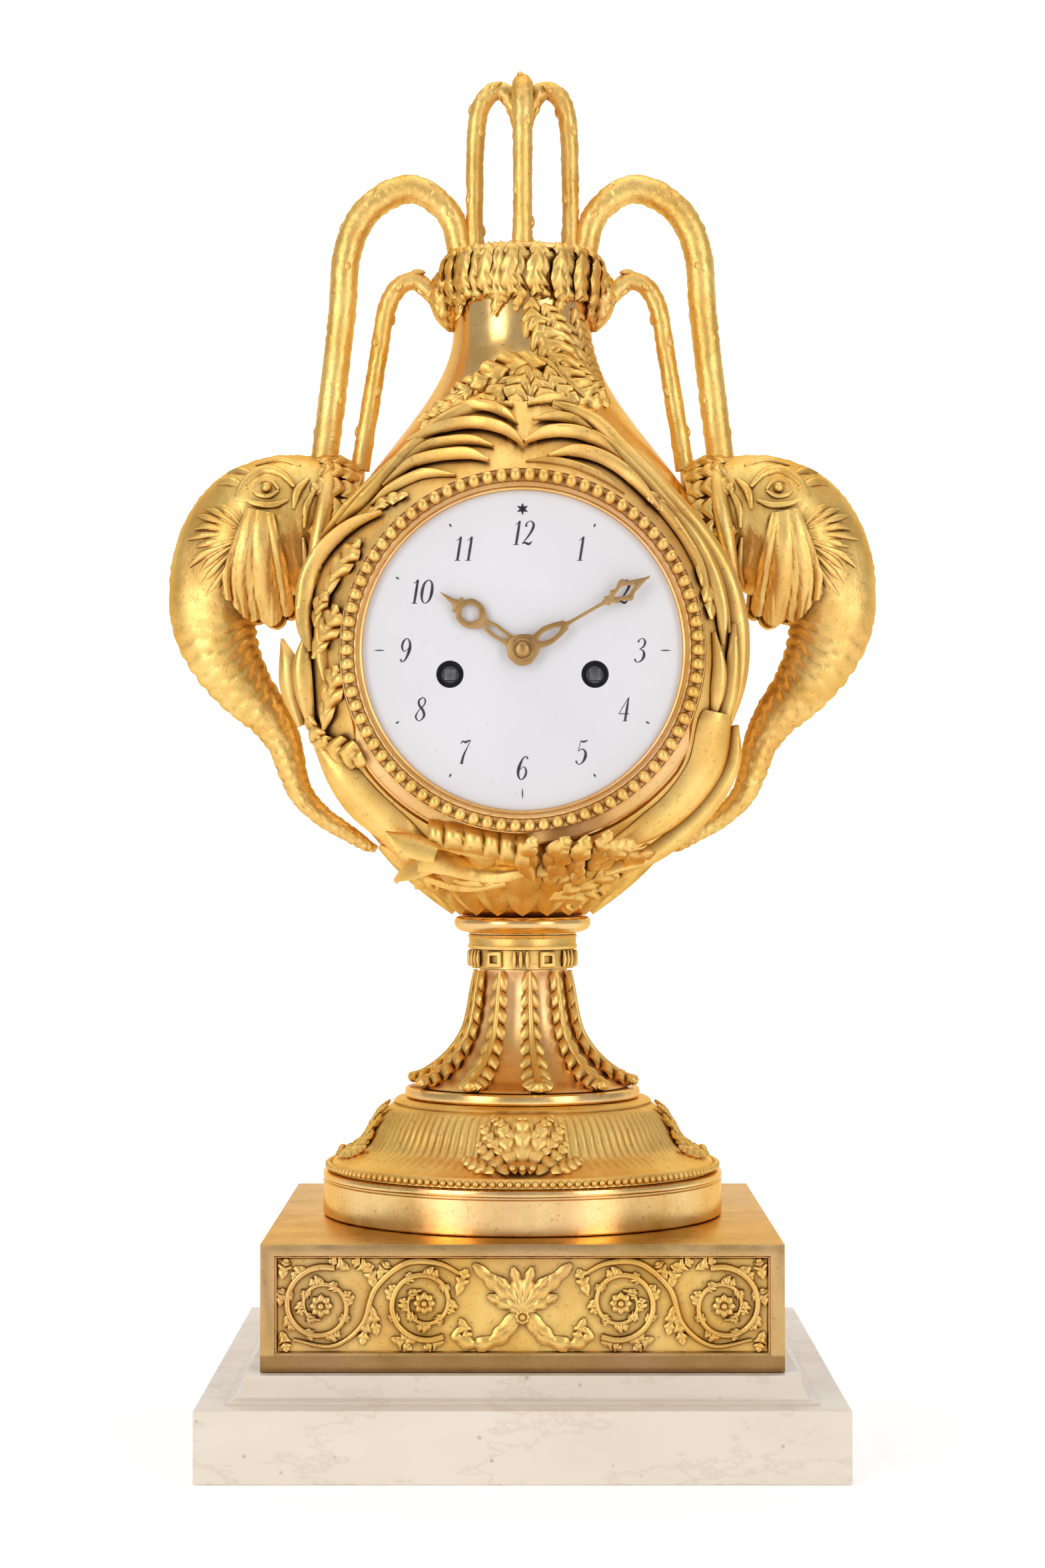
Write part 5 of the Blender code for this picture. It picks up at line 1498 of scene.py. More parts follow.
    def bezel(self) -> Piece:
        """Turn the bezel: a lip over the enamel, a channel for the beads and a rounded rim."""
        profile = [
            (50.2, 58.2), (50.1, 59.4), (50.3, 60), (50.8, 60.2), (51.3, 59.9), (51.7, 60.2), (52.2, 60.7),
            (52.7, 60.6), (53, 60), (56.6, 59.8), (56.9, 60.2), (57.2, 60), (57.3, 59.4), (57.1, 58.3),
            (53, 58.2),
        ]
        return faced(turned("bezel_ring", profile, 160, ring=True))

    def dress(self, finishes: Finishes) -> None:
        """Finish the dial, its paint, its bezel and its squares."""
        hand_over(self.plate(), finishes.enamel, "white_enamel", "enamel_dial")
        hand_over(self.numerals(), finishes.ink, "white_enamel")
        hand_over(self.bezel(), finishes.satin, "burnished_gilt", "dial_bezel")
        beads = faced(join("bezel_beads", around(bead(4.3, (54.9, 0, 60.9), 12, 8), self.beads)))
        hand_over(beads, finishes.relief, "gilt_bronze", "bead_ring")
        hand_over(self.sleeves(), finishes.shade, "winding_steel")
        for side, name in ((-1, "left"), (1, "right")):
            hand_over(self.squares(side), finishes.steel, "winding_steel", "winding_square_" + name)


@dataclass
class Hands:
    """The pierced gilt hands at ten past ten, and the arbor's boss."""

    minute_angle: float = 60.0
    hour_angle: float = 305.0

    def cut_out(
        self, name: str, outline: Points, holes: Sequence[Points], back: float, thick: float, angle: float
    ) -> Piece:
        """Saw one hand out of sheet: a flat curve with holes, thickened, its edges eased.

        Args:
            name: the hand's name.
            outline: its right-hand edge from the hub to the tip.
            holes: the right-hand edges of its holes, from the bottom.
            back: how far forward its back lies.
            thick: its thickness.
            angle: where it points, clockwise from twelve, in degrees.

        Returns:
            The hand.
        """
        curve = bpy.data.curves.new(name, "CURVE")
        curve.dimensions, curve.fill_mode = "2D", "BOTH"
        curve.extrude, curve.bevel_depth, curve.bevel_resolution = (thick / 2 - 0.12) * MM, 0.12 * MM, 1
        for edge in (outline, *holes):
            right = smooth(edge, 6 * len(edge))
            loop = [tuple(point) for point in right] + [(-x, y) for x, y in reversed(right.tolist())]
            self.spline(curve, loop)
        self.spline(curve, [
            (1.6 * math.cos(t * math.pi / 24), 1.6 * math.sin(t * math.pi / 24)) for t in range(48)
        ])
        made = bpy.data.objects.new(name, curve)
        bpy.context.scene.collection.objects.link(made)
        alone(made)
        bpy.ops.object.convert(target="MESH")
        hand = bpy.context.object
        turn = math.radians(angle)
        middle = -(back + thick / 2) * MM
        hand.data.transform(Matrix((
            (math.cos(turn), math.sin(turn), 0, 0), (0, 0, -1, middle),
            (-math.sin(turn), math.cos(turn), 0, DIAL_HEIGHT * MM), (0, 0, 0, 1),
        )))
        return tidy_mesh(hand, merge=0.002, angle=45)

    def spline(self, curve: bpy.types.Curve, loop: Points) -> None:
        """Add a closed line to a flat curve."""
        line = curve.splines.new("POLY")
        line.points.add(len(loop) - 1)
        for point, (x, y) in zip(line.points, loop):
            point.co = (x * MM, y * MM, 0, 1)
        line.use_cyclic_u = True

    def minute(self) -> Piece:
        """Saw the minute hand."""
        outline = [
            (0, -4.9), (3.5, -3.5), (4.9, 0), (3.4, 3.6), (2.3, 5), (2.7, 7.2), (2.9, 9), (2.4, 12.2),
            (1.7, 14.6), (1.5, 15.4), (0.5, 16.6), (0.42, 22), (0.5, 28.8), (1.5, 30.4), (1.1, 31.6),
            (2.2, 33), (1.9, 34.4), (3.3, 36.4), (3.5, 37.8), (2.2, 39), (1.3, 41.4), (0.5, 43.8), (0, 45.9),
        ]
        holes = [
            [(0, 5.4), (1.1, 7), (1.45, 9.2), (1, 12.2), (0, 14.2)],
            [(0, 32.6), (0.85, 34.4), (1.7, 36.8), (0.9, 38.8), (0, 40.6)],
        ]
        return self.cut_out("minute_pointer", outline, holes, 61.6, 0.8, self.minute_angle)

    def hour(self) -> Piece:
        """Saw the hour hand."""
        outline = [
            (0, -4.6), (3.3, -3.3), (4.6, 0), (3.2, 3.4), (1.9, 4.8), (1.8, 8), (2, 11), (1.5, 14.4),
            (2.6, 15.6), (4, 17.6), (4.4, 20), (3.9, 22.2), (2.3, 23.8), (2.6, 24.8), (1, 25.8), (0.5, 28.4),
            (0, 31.2),
        ]
        holes = [
            [(0, 5.6), (0.85, 7.2), (1, 10.4), (0.7, 12.6), (0, 13.8)],
            [(0, 16.8), (2, 18), (2.7, 20), (2, 22), (0, 23)],
        ]
        return self.cut_out("hour_pointer", outline, holes, 60.1, 0.8, self.hour_angle)

    def boss(self) -> Piece:
        """Turn the arbor with its domed boss."""
        profile = [
            (1.4, 56.1), (1.4, 62.2), (3.3, 62.5), (3.4, 63.2), (3, 63.5), (2.6, 63.5), (2.5, 64.2),
            (1.9, 64.9), (1, 65.2), (0, 65.3),
        ]
        return faced(turned("arbor_boss", [(0, 56.1), *profile], 40))

    def dress(self, finishes: Finishes) -> None:
        """Finish the hands."""
        hand_over(self.minute(), finishes.hand, "hand_gilt", "minute_hand", body="minute")
        hand_over(self.hour(), finishes.hand, "hand_gilt", "hour_hand", body="hour")
        hand_over(self.boss(), finishes.hand, "hand_gilt", "centre_arbor", body="minute")


# The wreath, the bow and the neck's foliage


@dataclass
class Wreath:
    """The two palm branches round the dial, laid on the cone between the bezel and the vase."""

    vase: Vase
    inner: float = 57.3
    slope: float = 0.8
    cone_front: float = 55.4
    cone_radius: float = 55.8

    def spot(self, x: float, z: float, lift: float = 0.0) -> Spot:
        """Give the point of the cone at a place seen from the front.

        Args:
            x: how far right of the dial's centre.
            z: how far above it.
            lift: how far off the cone.

        Returns:
            The point.
        """
        radius = math.hypot(x, z)
        ahead = self.cone_front - self.slope * (radius - self.cone_radius)
        around = self.vase.radius(DIAL_HEIGHT + z) ** 2 - x * x
        if around > 0:
            ahead = max(ahead, math.sqrt(around) + 2.2)
        return x, -ahead - lift, DIAL_HEIGHT + z

    def out(self, x: float, z: float) -> Spot:
        """Give the way out of the cone at a place."""
        radius = max(math.hypot(x, z), 1)
        return 0.8 * x / radius, -1.0, 0.8 * z / radius

    def web(self, side: int) -> Piece:
        """Model the thin ground that carries one branch.

        Args:
            side: -1 for the left one, 1 for the right one.

        Returns:
            The ground.
        """
        rim = smooth([
            81, 79, 76.5, 73.5, 70, 68.5, 68.5, 69.5, 69.5, 69.5, 68.5, 68.5, 67, 66.5, 66.5
        ], 61)[:, 0]

        def place(u: Array, v: Array) -> Array:
            """Lay the ground's points on the cone."""
            points = []
            for across, along in zip(u, v):
                angle = math.radians(-4 + 172 * along)
                near = self.inner + 4.4 * min(max((math.degrees(angle) - 112) / 14, 0), 1)
                radius = near + (rim[int(round(along * 60))] - near) * across
                points.append(self.spot(side * radius * math.sin(angle), radius * math.cos(angle)))
            return np.array(points)

        ground = modify(sheet("web", 8, 60, place), "SOLIDIFY", thickness=1.4 * MM, offset=0.0)
        return tidy_mesh(ground, merge=0.004)

    def blade(self, line: Sequence[float], wide: Sequence[float], high: float, lift: float) -> Piece:
        """Model one smooth, thick blade with a soft crease.

        Args:
            line: its places seen from the front, across and up in turn.
            wide: half its width along it.
            high: its thickness.
            lift: how far off the cone it lies.

        Returns:
            The blade.
        """
        rise = [high * min(1, 0.25 + value / max(wide)) for value in wide]
        path = [self.spot(x, z, lift) for x, z in pairs(line)]
        facing = [self.out(x, z) for x, z in pairs(line)]
        return sweep("blade", path, wide, rise, facing, 14 + 2 * len(line), 16, Section.BLADE)

    def frond(self, line: Sequence[float], wide: Sequence[float], lift: float, lobes: float) -> Piece:
        """Model one toothed leaf between the blades."""
        path = [self.spot(x, z, lift) for x, z in pairs(line)]
        facing = [self.out(x, z) for x, z in pairs(line)]
        return leaf("tooth", path, wide, facing, lobes, 0.5, 0.35, 0.3, 0.7, 1.1, 10, 26)

    def right(self) -> Piece:
        """Model the right branch."""
        blades = (
            ((9.6, 80.5, 17, 78, 24.5, 73.5, 31, 66.5, 38, 59, 46, 50.5, 56.5, 38.5, 64.5, 26, 68.4, 13, 69.3,
              0, 67.8, -12, 64, -25), (1, 2.4, 3, 3.4, 3.6, 3.6, 3.7, 3.8, 3.7, 3.2, 1.6), 2.6, 1.2),
            ((7, 69.5, 18.4, 70.4, 27, 66.5, 35, 58.8, 44, 48.8, 53, 37.5, 60, 25, 63.5, 14, 65, 6),
             (0.6, 2, 2.4, 2.6, 2.6, 2.4, 2, 0.8), 2.4, 0.6),
            ((3.3, 74, 9.6, 75.4, 16.5, 74.4, 22, 71), (0.5, 1.9, 1.9, 0.5), 2.2, 2.4),
            ((1.6, 79.6, 6.5, 81.6, 12, 81.8, 17.5, 79.6), (0.5, 1.8, 1.8, 0.5), 2.2, 1.6),
            ((0.5, 66, 6, 69, 12, 70.3, 19, 69.5, 25, 66, 31, 60.5), (0.6, 2.2, 2.7, 2.7, 2, 0.6), 3, 2.4),
            ((8, 61.2, 16, 63.4, 24, 62, 31, 58, 37, 52, 43, 44.5), (0.6, 2.4, 2.8, 2.7, 2, 0.5), 3, 2.2),
            ((1, 59.6, 9, 60, 18, 58.2, 26, 54.2, 32, 49.5), (0.4, 1.5, 1.7, 1.4, 0.3), 1.7, 0.8),
            ((36, 52, 44, 45, 51, 36, 56, 26, 58.8, 15), (0.5, 1.9, 2.2, 1.8, 0.4), 2.4, 1.6),
            ((43, 48.5, 52.5, 38, 59, 27, 62.6, 14, 62.8, 2), (0.6, 2.8, 3.2, 2.8, 0.6), 2.8, 2.2),
            ((60, 6, 61.8, -4, 61.6, -12, 60, -20), (0.6, 2.6, 3, 1.2), 2.8, 1.4),
            ((66.5, 9, 66.4, -4, 65.2, -15, 62, -24), (0.8, 2.8, 3, 1.8), 2.6, 2.2),
            ((61.5, -19, 60.6, -23, 58.1, -36, 49.6, -47.8, 38.9, -55.8, 27.5, -61.5),
             (5.6, 7, 7.4, 6.6, 5.2, 1.6), 4, 1.2),
            ((67.4, -23, 66.8, -34.5, 60.6, -46.4, 50.6, -57, 39, -65, 26, -69.5),
             (1.4, 3.2, 4, 4.2, 3.6, 1.4), 3.2, 0.6),
        )
        pieces = [self.web(1), *[self.blade(*one) for one in blades]]
        pieces.append(self.frond((55, 27, 58.5, 19, 59.5, 10), (0.8, 2.8, 0.6), 2.4, 3))
        pieces.append(self.frond((36, 53, 42, 48, 49, 42), (0.8, 2.4, 0.6), 3, 4))
        return join("palm_right", pieces)

    def left(self) -> Piece:
        """Model the left branch."""
        blades = (
            ((-3, 79, -14, 79.5, -24, 75.5, -33, 68, -42, 58, -50.5, 48.6, -58.5, 40.5),
             (0.8, 2.3, 2.7, 2.7, 2.7, 2.4, 1), 2.8, 1.2),
            ((-44, 43.8, -53, 40.6, -61.8, 34, -67.4, 26, -69.2, 17, -68.8, 8, -66.5, 0),
             (0.5, 2.1, 3, 3.3, 3.3, 2.8, 1), 3.6, 2.4),
            ((-36.4, 67.1, -28.6, 70.9, -20.7, 73, -13.9, 73.2, -7.2, 71.3, -2.5, 68.2, 0.4, 64.6),
             (1.2, 2.1, 2.4, 2.5, 2.3, 1.6, 0.4), 3, 2.6),
            ((-1.4, 72.2, -5.4, 76.4, -10.5, 79, -17.5, 79.6, -25, 77), (0.4, 1.9, 2.2, 1.9, 0.6), 2.4, 2.4),
            ((-40, 58, -31.2, 65.3, -23.3, 67.2, -15.5, 67.1, -9.2, 64.8), (0.8, 1.9, 2.1, 1.9, 0.4), 2.4,
             1.8),
            ((-44, 52.5, -36.4, 59, -31.7, 61.2, -24.4, 62.5, -16.6, 62.4, -10.5, 59.8),
             (0.6, 1.8, 2.3, 2.4, 2.2, 0.5), 2.8, 2.2),
            ((-48, 46.5, -42, 51.5, -34, 55.6, -28.6, 56.4, -21, 55.2), (0.5, 1.9, 2.1, 1.8, 0.4), 2.2, 1.4),
            ((-64, 36.5, -56, 45.5, -47, 54.5, -38.5, 61.8, -30, 67), (0.6, 2.2, 2.5, 2.2, 0.8), 2.6, 1.4),
            ((-70.2, -23, -73.8, -11.8, -74.6, -3.2, -76.6, 4.8), (1.8, 4.2, 3.9, 0.4), 3, 0.8),
            ((-66.5, -24, -69, -12.7, -69.6, -3, -67.6, 7), (1.2, 3.7, 3.6, 0.6), 3.4, 2.4),
            ((-60.5, -14, -63.2, -2, -63.4, 10, -61, 20), (0.6, 2.4, 2.6, 0.5), 2.4, 1),
            ((-64, -29, -57.4, -38.6, -49.7, -48.3, -38.5, -57, -28.5, -62.5), (3, 6.6, 7.6, 6.2, 1.8), 4.4,
             1.2),
        )
        pieces = [self.web(-1), *[self.blade(*one) for one in blades]]
        pieces += [self.frond(*one) for one in (
            ((-62.3, 17, -59.5, 24, -55.5, 30, -51.4, 35.4), (0.8, 4, 4.2, 1), 2.8, 3.5),
            ((-66.2, -2, -63.4, 4, -60.6, 9, -58.6, 14.5), (1, 4.4, 4.4, 0.8), 3.2, 3.5),
            ((-65.5, 8, -64.4, 14, -61.6, 19), (0.8, 3, 0.8), 3.4, 3),
            ((-63, -24.5, -61.6, -17, -59.8, -10, -58.6, -4.5), (1, 4.2, 4.2, 0.8), 3.2, 3.5),
            ((-66.8, -28.2, -61, -30.2, -55, -32.4, -49.4, -35.4), (2, 4.6, 4.4, 0.8), 3.8, 4),
            ((-68.4, -19, -66, -25, -61.5, -30.5), (1, 3.4, 0.8), 4, 3),
            ((-50, 42, -43.5, 47.5, -36, 49.5), (0.8, 2.4, 0.5), 2.2, 4),
            ((-34, 75, -25, 79, -14, 82), (0.8, 2.6, 0.5), 1.6, 5),
        )]
        return join("palm_left", pieces)

    def dress(self, finishes: Finishes) -> None:
        """Finish both branches."""
        hand_over(self.right(), finishes.relief, "gilt_bronze", "palm_branch_right")
        hand_over(self.left(), finishes.relief, "gilt_bronze", "palm_branch_left")


@dataclass
class Bow:
    """The ribbon that ties the branches, with its pleated loop, its tails and the leaves on its right."""

    vase: Vase

    def spot(self, x: float, z: float, lift: float) -> Spot:
        """Give a point in front of the vase, drawn forward towards the dial's drum as it rises."""
        own = math.sqrt(max(self.vase.radius(z) ** 2 - x * x, 0))
        drum = 56.5 * min(max((z - 176) / 12, 0), 1)
        return x, -max(own, drum) - lift, z

    def loop(self) -> Piece:
        """Model the pleated loop."""
        low = smooth([(0, 189.8), (0.25, 189.2), (0.5, 187.8), (0.75, 185.8), (1, 183.4)], 61)[:, 1]

        def place(u: Array, v: Array) -> Array:
            """Lay the ribbon's points in pleats."""
            x = -29.5 + 31.0 * u
            top = 198.4 - 4.6 * u
            z = top + (low[np.rint(u * 60).astype(int)] - top) * v
            pleat = np.abs(np.sin(math.pi * (5.5 * u + 0.22 * v + 0.12 * np.sin(9 * u)))) ** 0.8
            roll = np.sin(math.pi * np.clip(v, 0, 1)) ** 0.6
            return np.column_stack([
                x + 0.8 * v, -(52.9 + 1.9 * pleat * (0.35 + 0.65 * roll) + 2.6 * roll), z
            ])

        ribbon = modify(sheet("loop", 60, 14, place), "SOLIDIFY", thickness=1.0 * MM, offset=0.0)
        return tidy_mesh(ribbon, merge=0.004, angle=60)

    def band(self, line: Sequence[float], wide: Sequence[float], lift: float, high: float = 1.4) -> Piece:
        """Model one flat run of ribbon."""
        path = [self.spot(x, z, lift) for x, z in pairs(line)]
        return sweep("ribbon", path, wide, [high], (0, -1, 0.35), 30, 16, Section.BLADE)

    def sprig(self, line: Sequence[float], wide: Sequence[float], lift: float, lobes: float = 4) -> Piece:
        """Model one toothed leaf by the knot."""
        path = [self.spot(x, z, lift + 1.5 * index) for index, (x, z) in enumerate(pairs(line))]
        return leaf("sprig", path, wide, (0, -1, -0.2), lobes, 0.4, 0.35, 0.3, 0.6, 1.2, 10, 26)

    def build(self) -> Piece:
        """Model the bow."""
        pieces = [self.loop()]
        pieces += [
            self.band(*one)
            for one in (
                ((0.5, 182.4, -7.7, 181.2, -16.3, 182.6, -24.8, 185.2, -33.4, 186.4),
                 (2, 2.8, 3.6, 4.2, 4.4), 3.4),
                ((-5, 178.2, -14.6, 177.4, -23, 178.2, -31, 180.6), (1, 2, 2.4, 2), 2),
                ((-27, 188, -33, 190, -38, 191.6, -43, 194.5), (3.2, 4, 3.4, 0.8), 1.8),
                ((-27, 184.5, -33, 183.6, -38, 181.8, -41, 178.6), (2.6, 4, 3.4, 1), 1.4),
                ((-24, 179, -16, 178.6, -8, 177.8), (0.6, 1.6, 0.8), 1.8),
            )
        ]
        pieces += [self.sprig(*one) for one in (
            ((3, 181, 8, 184, 11, 189, 15, 192.5), (1.6, 3.2, 3.2, 1), 2),
            ((11, 178, 15.5, 183, 18, 188, 20.5, 193.5), (1.4, 3, 3, 0.8), 2.4),
            ((16, 180, 23, 184.5, 29, 189, 35, 191.5), (1.6, 3.4, 3.2, 0.8), 2.2),
            ((17, 176, 24, 180, 30, 182.5, 35, 181), (1.6, 3.2, 2.8, 0.8), 2),
            ((14, 173.5, 21, 175.5, 27, 176.5, 31, 174), (1.4, 3, 2.6, 0.8), 1.6),
            ((6, 179, 3, 184, 2, 189, 4, 193), (1.2, 2.4, 2.4, 0.8), 1.6),
            ((-20, 177.5, -26, 179, -31, 178.6, -35, 176.4), (1.6, 3, 2.6, 0.8), 1),
            ((8, 177, 9.5, 182, 12.5, 186.5, 14, 191), (1.4, 2.6, 2.4, 0.6), 3),
            ((20, 182, 23.5, 186.5, 25, 190.5, 27.5, 195), (1.4, 2.8, 2.6, 0.6), 2.6),
            ((24, 178.5, 30, 182, 35.5, 186.5, 41, 188.5), (1.4, 2.8, 2.6, 0.6), 1.8),
            ((9, 173, 14, 176, 17.5, 180, 18.5, 184.5), (1.4, 2.8, 2.4, 0.6), 3.2),
        )]
        pieces.append(sweep(
            "knot", [self.spot(x, z, 3) for x, z in ((-1.5, 187), (1.2, 184), (3, 180.2))], (1.6, 3, 1.4),
            (1.8, 2.6, 1.6), along=14, sides=14,
        ))
        curl = []
        for step in range(7):
            reach, turn = 2.6 * (1 - 0.13 * step), 0.75 * step
            x = 16 + reach * math.cos(turn)
            curl.append((x, -math.sqrt(max(25.5**2 - x * x, 0)) - 1.4, 170.4 + reach * math.sin(turn)))
        pieces.append(sweep("curl", curl, (1.2, 1.2, 1, 0.8), along=26, sides=8))
        return join("ribbon_knot", pieces)

    def dress(self, finishes: Finishes) -> None:
        """Finish the bow."""
        hand_over(self.build(), finishes.relief, "gilt_bronze", "ribbon_bow")


@dataclass
class Neck:
    """The neck's foliage: a vine spray in front, a collar of hanging leaves, two side pods and the cap."""

    vase: Vase
    tips: tuple[float, ...] = (364.0, 367.5, 363.0, 366.0, 368.5, 362.6, 365.5)
    under_leaves: int = 28
    over_leaves: int = 20

    def spot(self, x: float, z: float, lift: float) -> Spot:
        """Give a point in front of the vase at a place seen from the front."""
        radius = self.vase.radius(z) + lift
        return x, -math.sqrt(max(radius * radius - x * x, 0)), z

    def spray(self) -> Piece:
        """Model the vine spray."""
        pieces = []
        for line, wide, lift, lobes in (
            ((7.5, 345.8, 1.5, 346.2, -4.5, 344.4, -11, 341.2, -16.5, 338.4), (1.6, 4.4, 5, 4.2, 1), 2.6, 4),
            ((-8, 342, -13.5, 339.8, -19, 337, -24.5, 335.2), (1.4, 3.6, 3.6, 0.8), 1.6, 4),
            ((-2, 341.5, -5.5, 338, -10, 333.6, -14, 331.4), (1.4, 3.4, 3.2, 0.8), 2, 3.5),
            ((-16, 338, -21.5, 334, -28, 330, -33, 325.5), (1, 3, 3, 0.8), 1.4, 5),
            ((4.5, 341, 9, 338.4, 14, 336), (1.2, 2.8, 0.8), 1.2, 3),
            ((1, 363.5, 5.5, 357, 9.5, 350, 13.5, 342.5, 19, 336.4, 25, 332.4),
             (4.4, 6.6, 6.8, 6.2, 4.8, 1.4), 1.8, 8),
            ((12, 362, 15.5, 354, 18.5, 346, 22.5, 339.5, 28, 333.5), (3.6, 4.6, 4.6, 3.8, 1.2), 1.2, 8),
            ((8, 345, 9.5, 341, 13, 336.5, 18, 333), (1.2, 3, 2.8, 0.8), 3.2, 4),
            ((17, 366, 19.8, 357, 22.6, 348, 26.4, 340), (2.6, 3.8, 3.8, 1.2), 0.8, 9),
            ((6.5, 366, 10.5, 360, 13.2, 352, 14.6, 345), (2.6, 4.2, 4, 1.2), 2.8, 7),
            ((15, 352, 17.6, 346, 21.4, 340.5, 27, 336), (1.6, 3.8, 3.8, 1.2), 2.4, 6),
            ((3, 368, 3.4, 362, 6.6, 356.5), (2, 3.2, 1), 2.6, 4),
            ((2, 346.5, 0.4, 341, -1.6, 336.4, -2.4, 331.5), (1.6, 4.2, 3.8, 0.8), 2, 4),
            ((3.2, 345, 4.6, 340, 6.6, 335.4, 8.8, 331), (1.6, 3.8, 3.6, 0.8), 1.6, 4),
        ):
            path = [self.spot(x, z, lift) for x, z in pairs(line)]
            facing = [(x * 0.9, y, -8) for x, y, _ in path]
            pieces.append(leaf("vine", path, wide, facing, lobes, 0.42, 0.28, 0.26, 0.8, 1.1, 12, 34))
        stem = [
            self.spot(x, z, 2.2)
            for x, z in ((-26, 334), (-15, 341), (-4, 346.5), (7, 347.2), (13, 341), (20, 335.2))
        ]
        pieces.append(sweep("vine_stem", stem, (0.8, 1.1, 1.1, 0.8), along=40, sides=8))
        return join("vine_leaves", pieces)

    def hanging(self, turn: float, tip: float, wide: float, out: float) -> Piece:
        """Model one hanging leaf of the collar.

        Args:
            turn: its angle round the neck, in degrees from the front.
            tip: how low its tip hangs.
            wide: half its width.
            out: how far it stands off the neck.

        Returns:
            The leaf.
        """
        rows = (
            (24.2, 386.6), (25.8 + out, 382.5), (26.2 + out, 375.5), (25.4 + out * 0.6, 370),
            (24.4, tip + 2.5), (24.8, tip),
        )
        angle = math.radians(turn)
        sway = [0, 0.02, -0.02, 0.03, 0.0, -0.03]
        path = [(r * math.sin(angle + s), -r * math.cos(angle + s), z) for (r, z), s in zip(rows, sway)]
        facing = [(math.sin(angle), -math.cos(angle), lean) for lean in (1.2, 0.5, 0, -0.1, -0.1, 0)]
        return leaf(
            "hang", path, (wide * 0.8, wide, wide * 1.05, wide * 0.85, wide * 0.5, 0.25), facing, 6, 0.36,
            0.4, 0.3, 0.8, 0.9, 8, 26,
        )

    def pod(self) -> Piece:
        """Model the leafy pod on the right, which takes the inner stalk."""
        path = [
            (20, 0, 381.5), (22.6, 0, 378.5), (25, 0, 374), (26, 0, 369), (25.2, 0, 364.4), (24.2, 0, 361.4)
        ]
        pieces = [sweep("pod", path, (3.5, 5.2, 5.2, 4.4, 2.6, 0.6), along=30, sides=18)]
        for turn in range(0, 360, 45):
            angle = math.radians(turn)
            line = []
            for (x, _, z), radius in zip(path, (4, 5.8, 5.8, 4.9, 3, 0.8)):
                line.append((
                    x + radius * math.cos(angle) * 0.9, radius * math.sin(angle),
                    z + radius * math.cos(angle) * 0.35,
                ))
            facing = (math.cos(angle), math.sin(angle), 0.3 * math.cos(angle))
            pieces.append(leaf(
                "scale", line, (1.6, 2.5, 2.7, 2.2, 1.2, 0.3), facing, 5, 0.35, 0.3, 0.3, 0.6, 0.8, 6, 20
            ))
        return join("pod", pieces)

    def collar(self) -> Piece:
        """Model the collar."""
        pieces = []
        for index in range(self.under_leaves):
            tip = self.tips[index % 7]
            pieces.append(self.hanging(
                index * 360 / self.under_leaves + 4 * (index % 3 - 1), tip, 2.5 + 0.5 * (index % 2), 0
            ))
        for index in range(self.over_leaves):
            tip = self.tips[(index * 3) % 7] + 6
            pieces.append(self.hanging(index * 360 / self.over_leaves + 9, tip, 2.4, 1.3))
        pieces.append(turned("collar_ring", [
            (23.2, 380), (25.2, 380.2), (26.2, 381.8), (25.4, 383.4), (23.2, 383.7)
        ], 64))
        right = self.pod()
        pieces += [right, copy_of(right, Matrix.Diagonal((-1, 1, 1, 1)))]
        return join("collar_leaves", pieces)

    def cap(self) -> Piece:
        """Turn the cap under the finial."""
        profile = [
            (12, 384.3), (24.4, 384.3), (25.1, 384.8), (25.2, 385.6), (24.6, 386.3), (22.8, 386.8),
            (18, 387.2), (8, 387.3), (0, 387.3),
        ]
        return turned("cap_plate", profile, 96)

    def dress(self, finishes: Finishes) -> None:
        """Finish the foliage and the cap."""
        hand_over(self.spray(), finishes.relief, "gilt_bronze", "vine_spray")
        hand_over(self.collar(), finishes.relief, "gilt_bronze", "leaf_collar")
        hand_over(self.cap(), finishes.satin, "gilt_bronze", "neck_cap")


# The handles and the stalks


@dataclass
class Stalk:
    """A knotty vine stalk along a path."""

    path: Points
    radii: tuple[float, ...]
    knots: int
    grain: float = 1.1

    def build(self, name: str) -> Piece:
        """Model the stalk: a tube with rough bark and small buds that lie along it.

        Args:
            name: the piece's name.

        Returns:
            The stalk.
        """
        length = float(np.linalg.norm(np.diff(smooth(self.path, 200), axis=0), axis=1).sum())
        tube = sweep(
            "stalk", self.path, self.radii, facing=(0, -1, 0.01), along=max(24, int(length / 0.9)), sides=18
        )
        rough = bpy.data.textures.new("bark", "CLOUDS")
        rough.noise_scale, rough.noise_depth = 1.9 * MM, 3
        modify(
            tube, "DISPLACE", texture=rough, strength=self.grain * MM, mid_level=0.5, texture_coords="LOCAL"
        )
        pieces = [tube]
        spine, ahead, side, out = frames(self.path, (0, -1, 0.01), 200)
        radius = smooth(self.radii, 201)[:, 0]
        for knot in range(self.knots):
            step = int((knot + 0.7) / self.knots * 192)
            turn = 2.4 * knot
            away = side[step] * math.cos(turn) + out[step] * math.sin(turn)
            base = spine[step] + away * radius[step] * 0.72
            bud = [
                base, base + ahead[step] * 1.5 + away * 0.35, base + ahead[step] * 3.4 + away * 0.35,
                base + ahead[step] * 5.0,
            ]
            pieces.append(sweep(
                "bud", [tuple(point) for point in bud], (0.4, 1.2, 1, 0.3), facing=tuple(away), along=8,
                sides=8,
            ))
        return tidy_mesh(join(name, pieces), merge=0.002, angle=70)


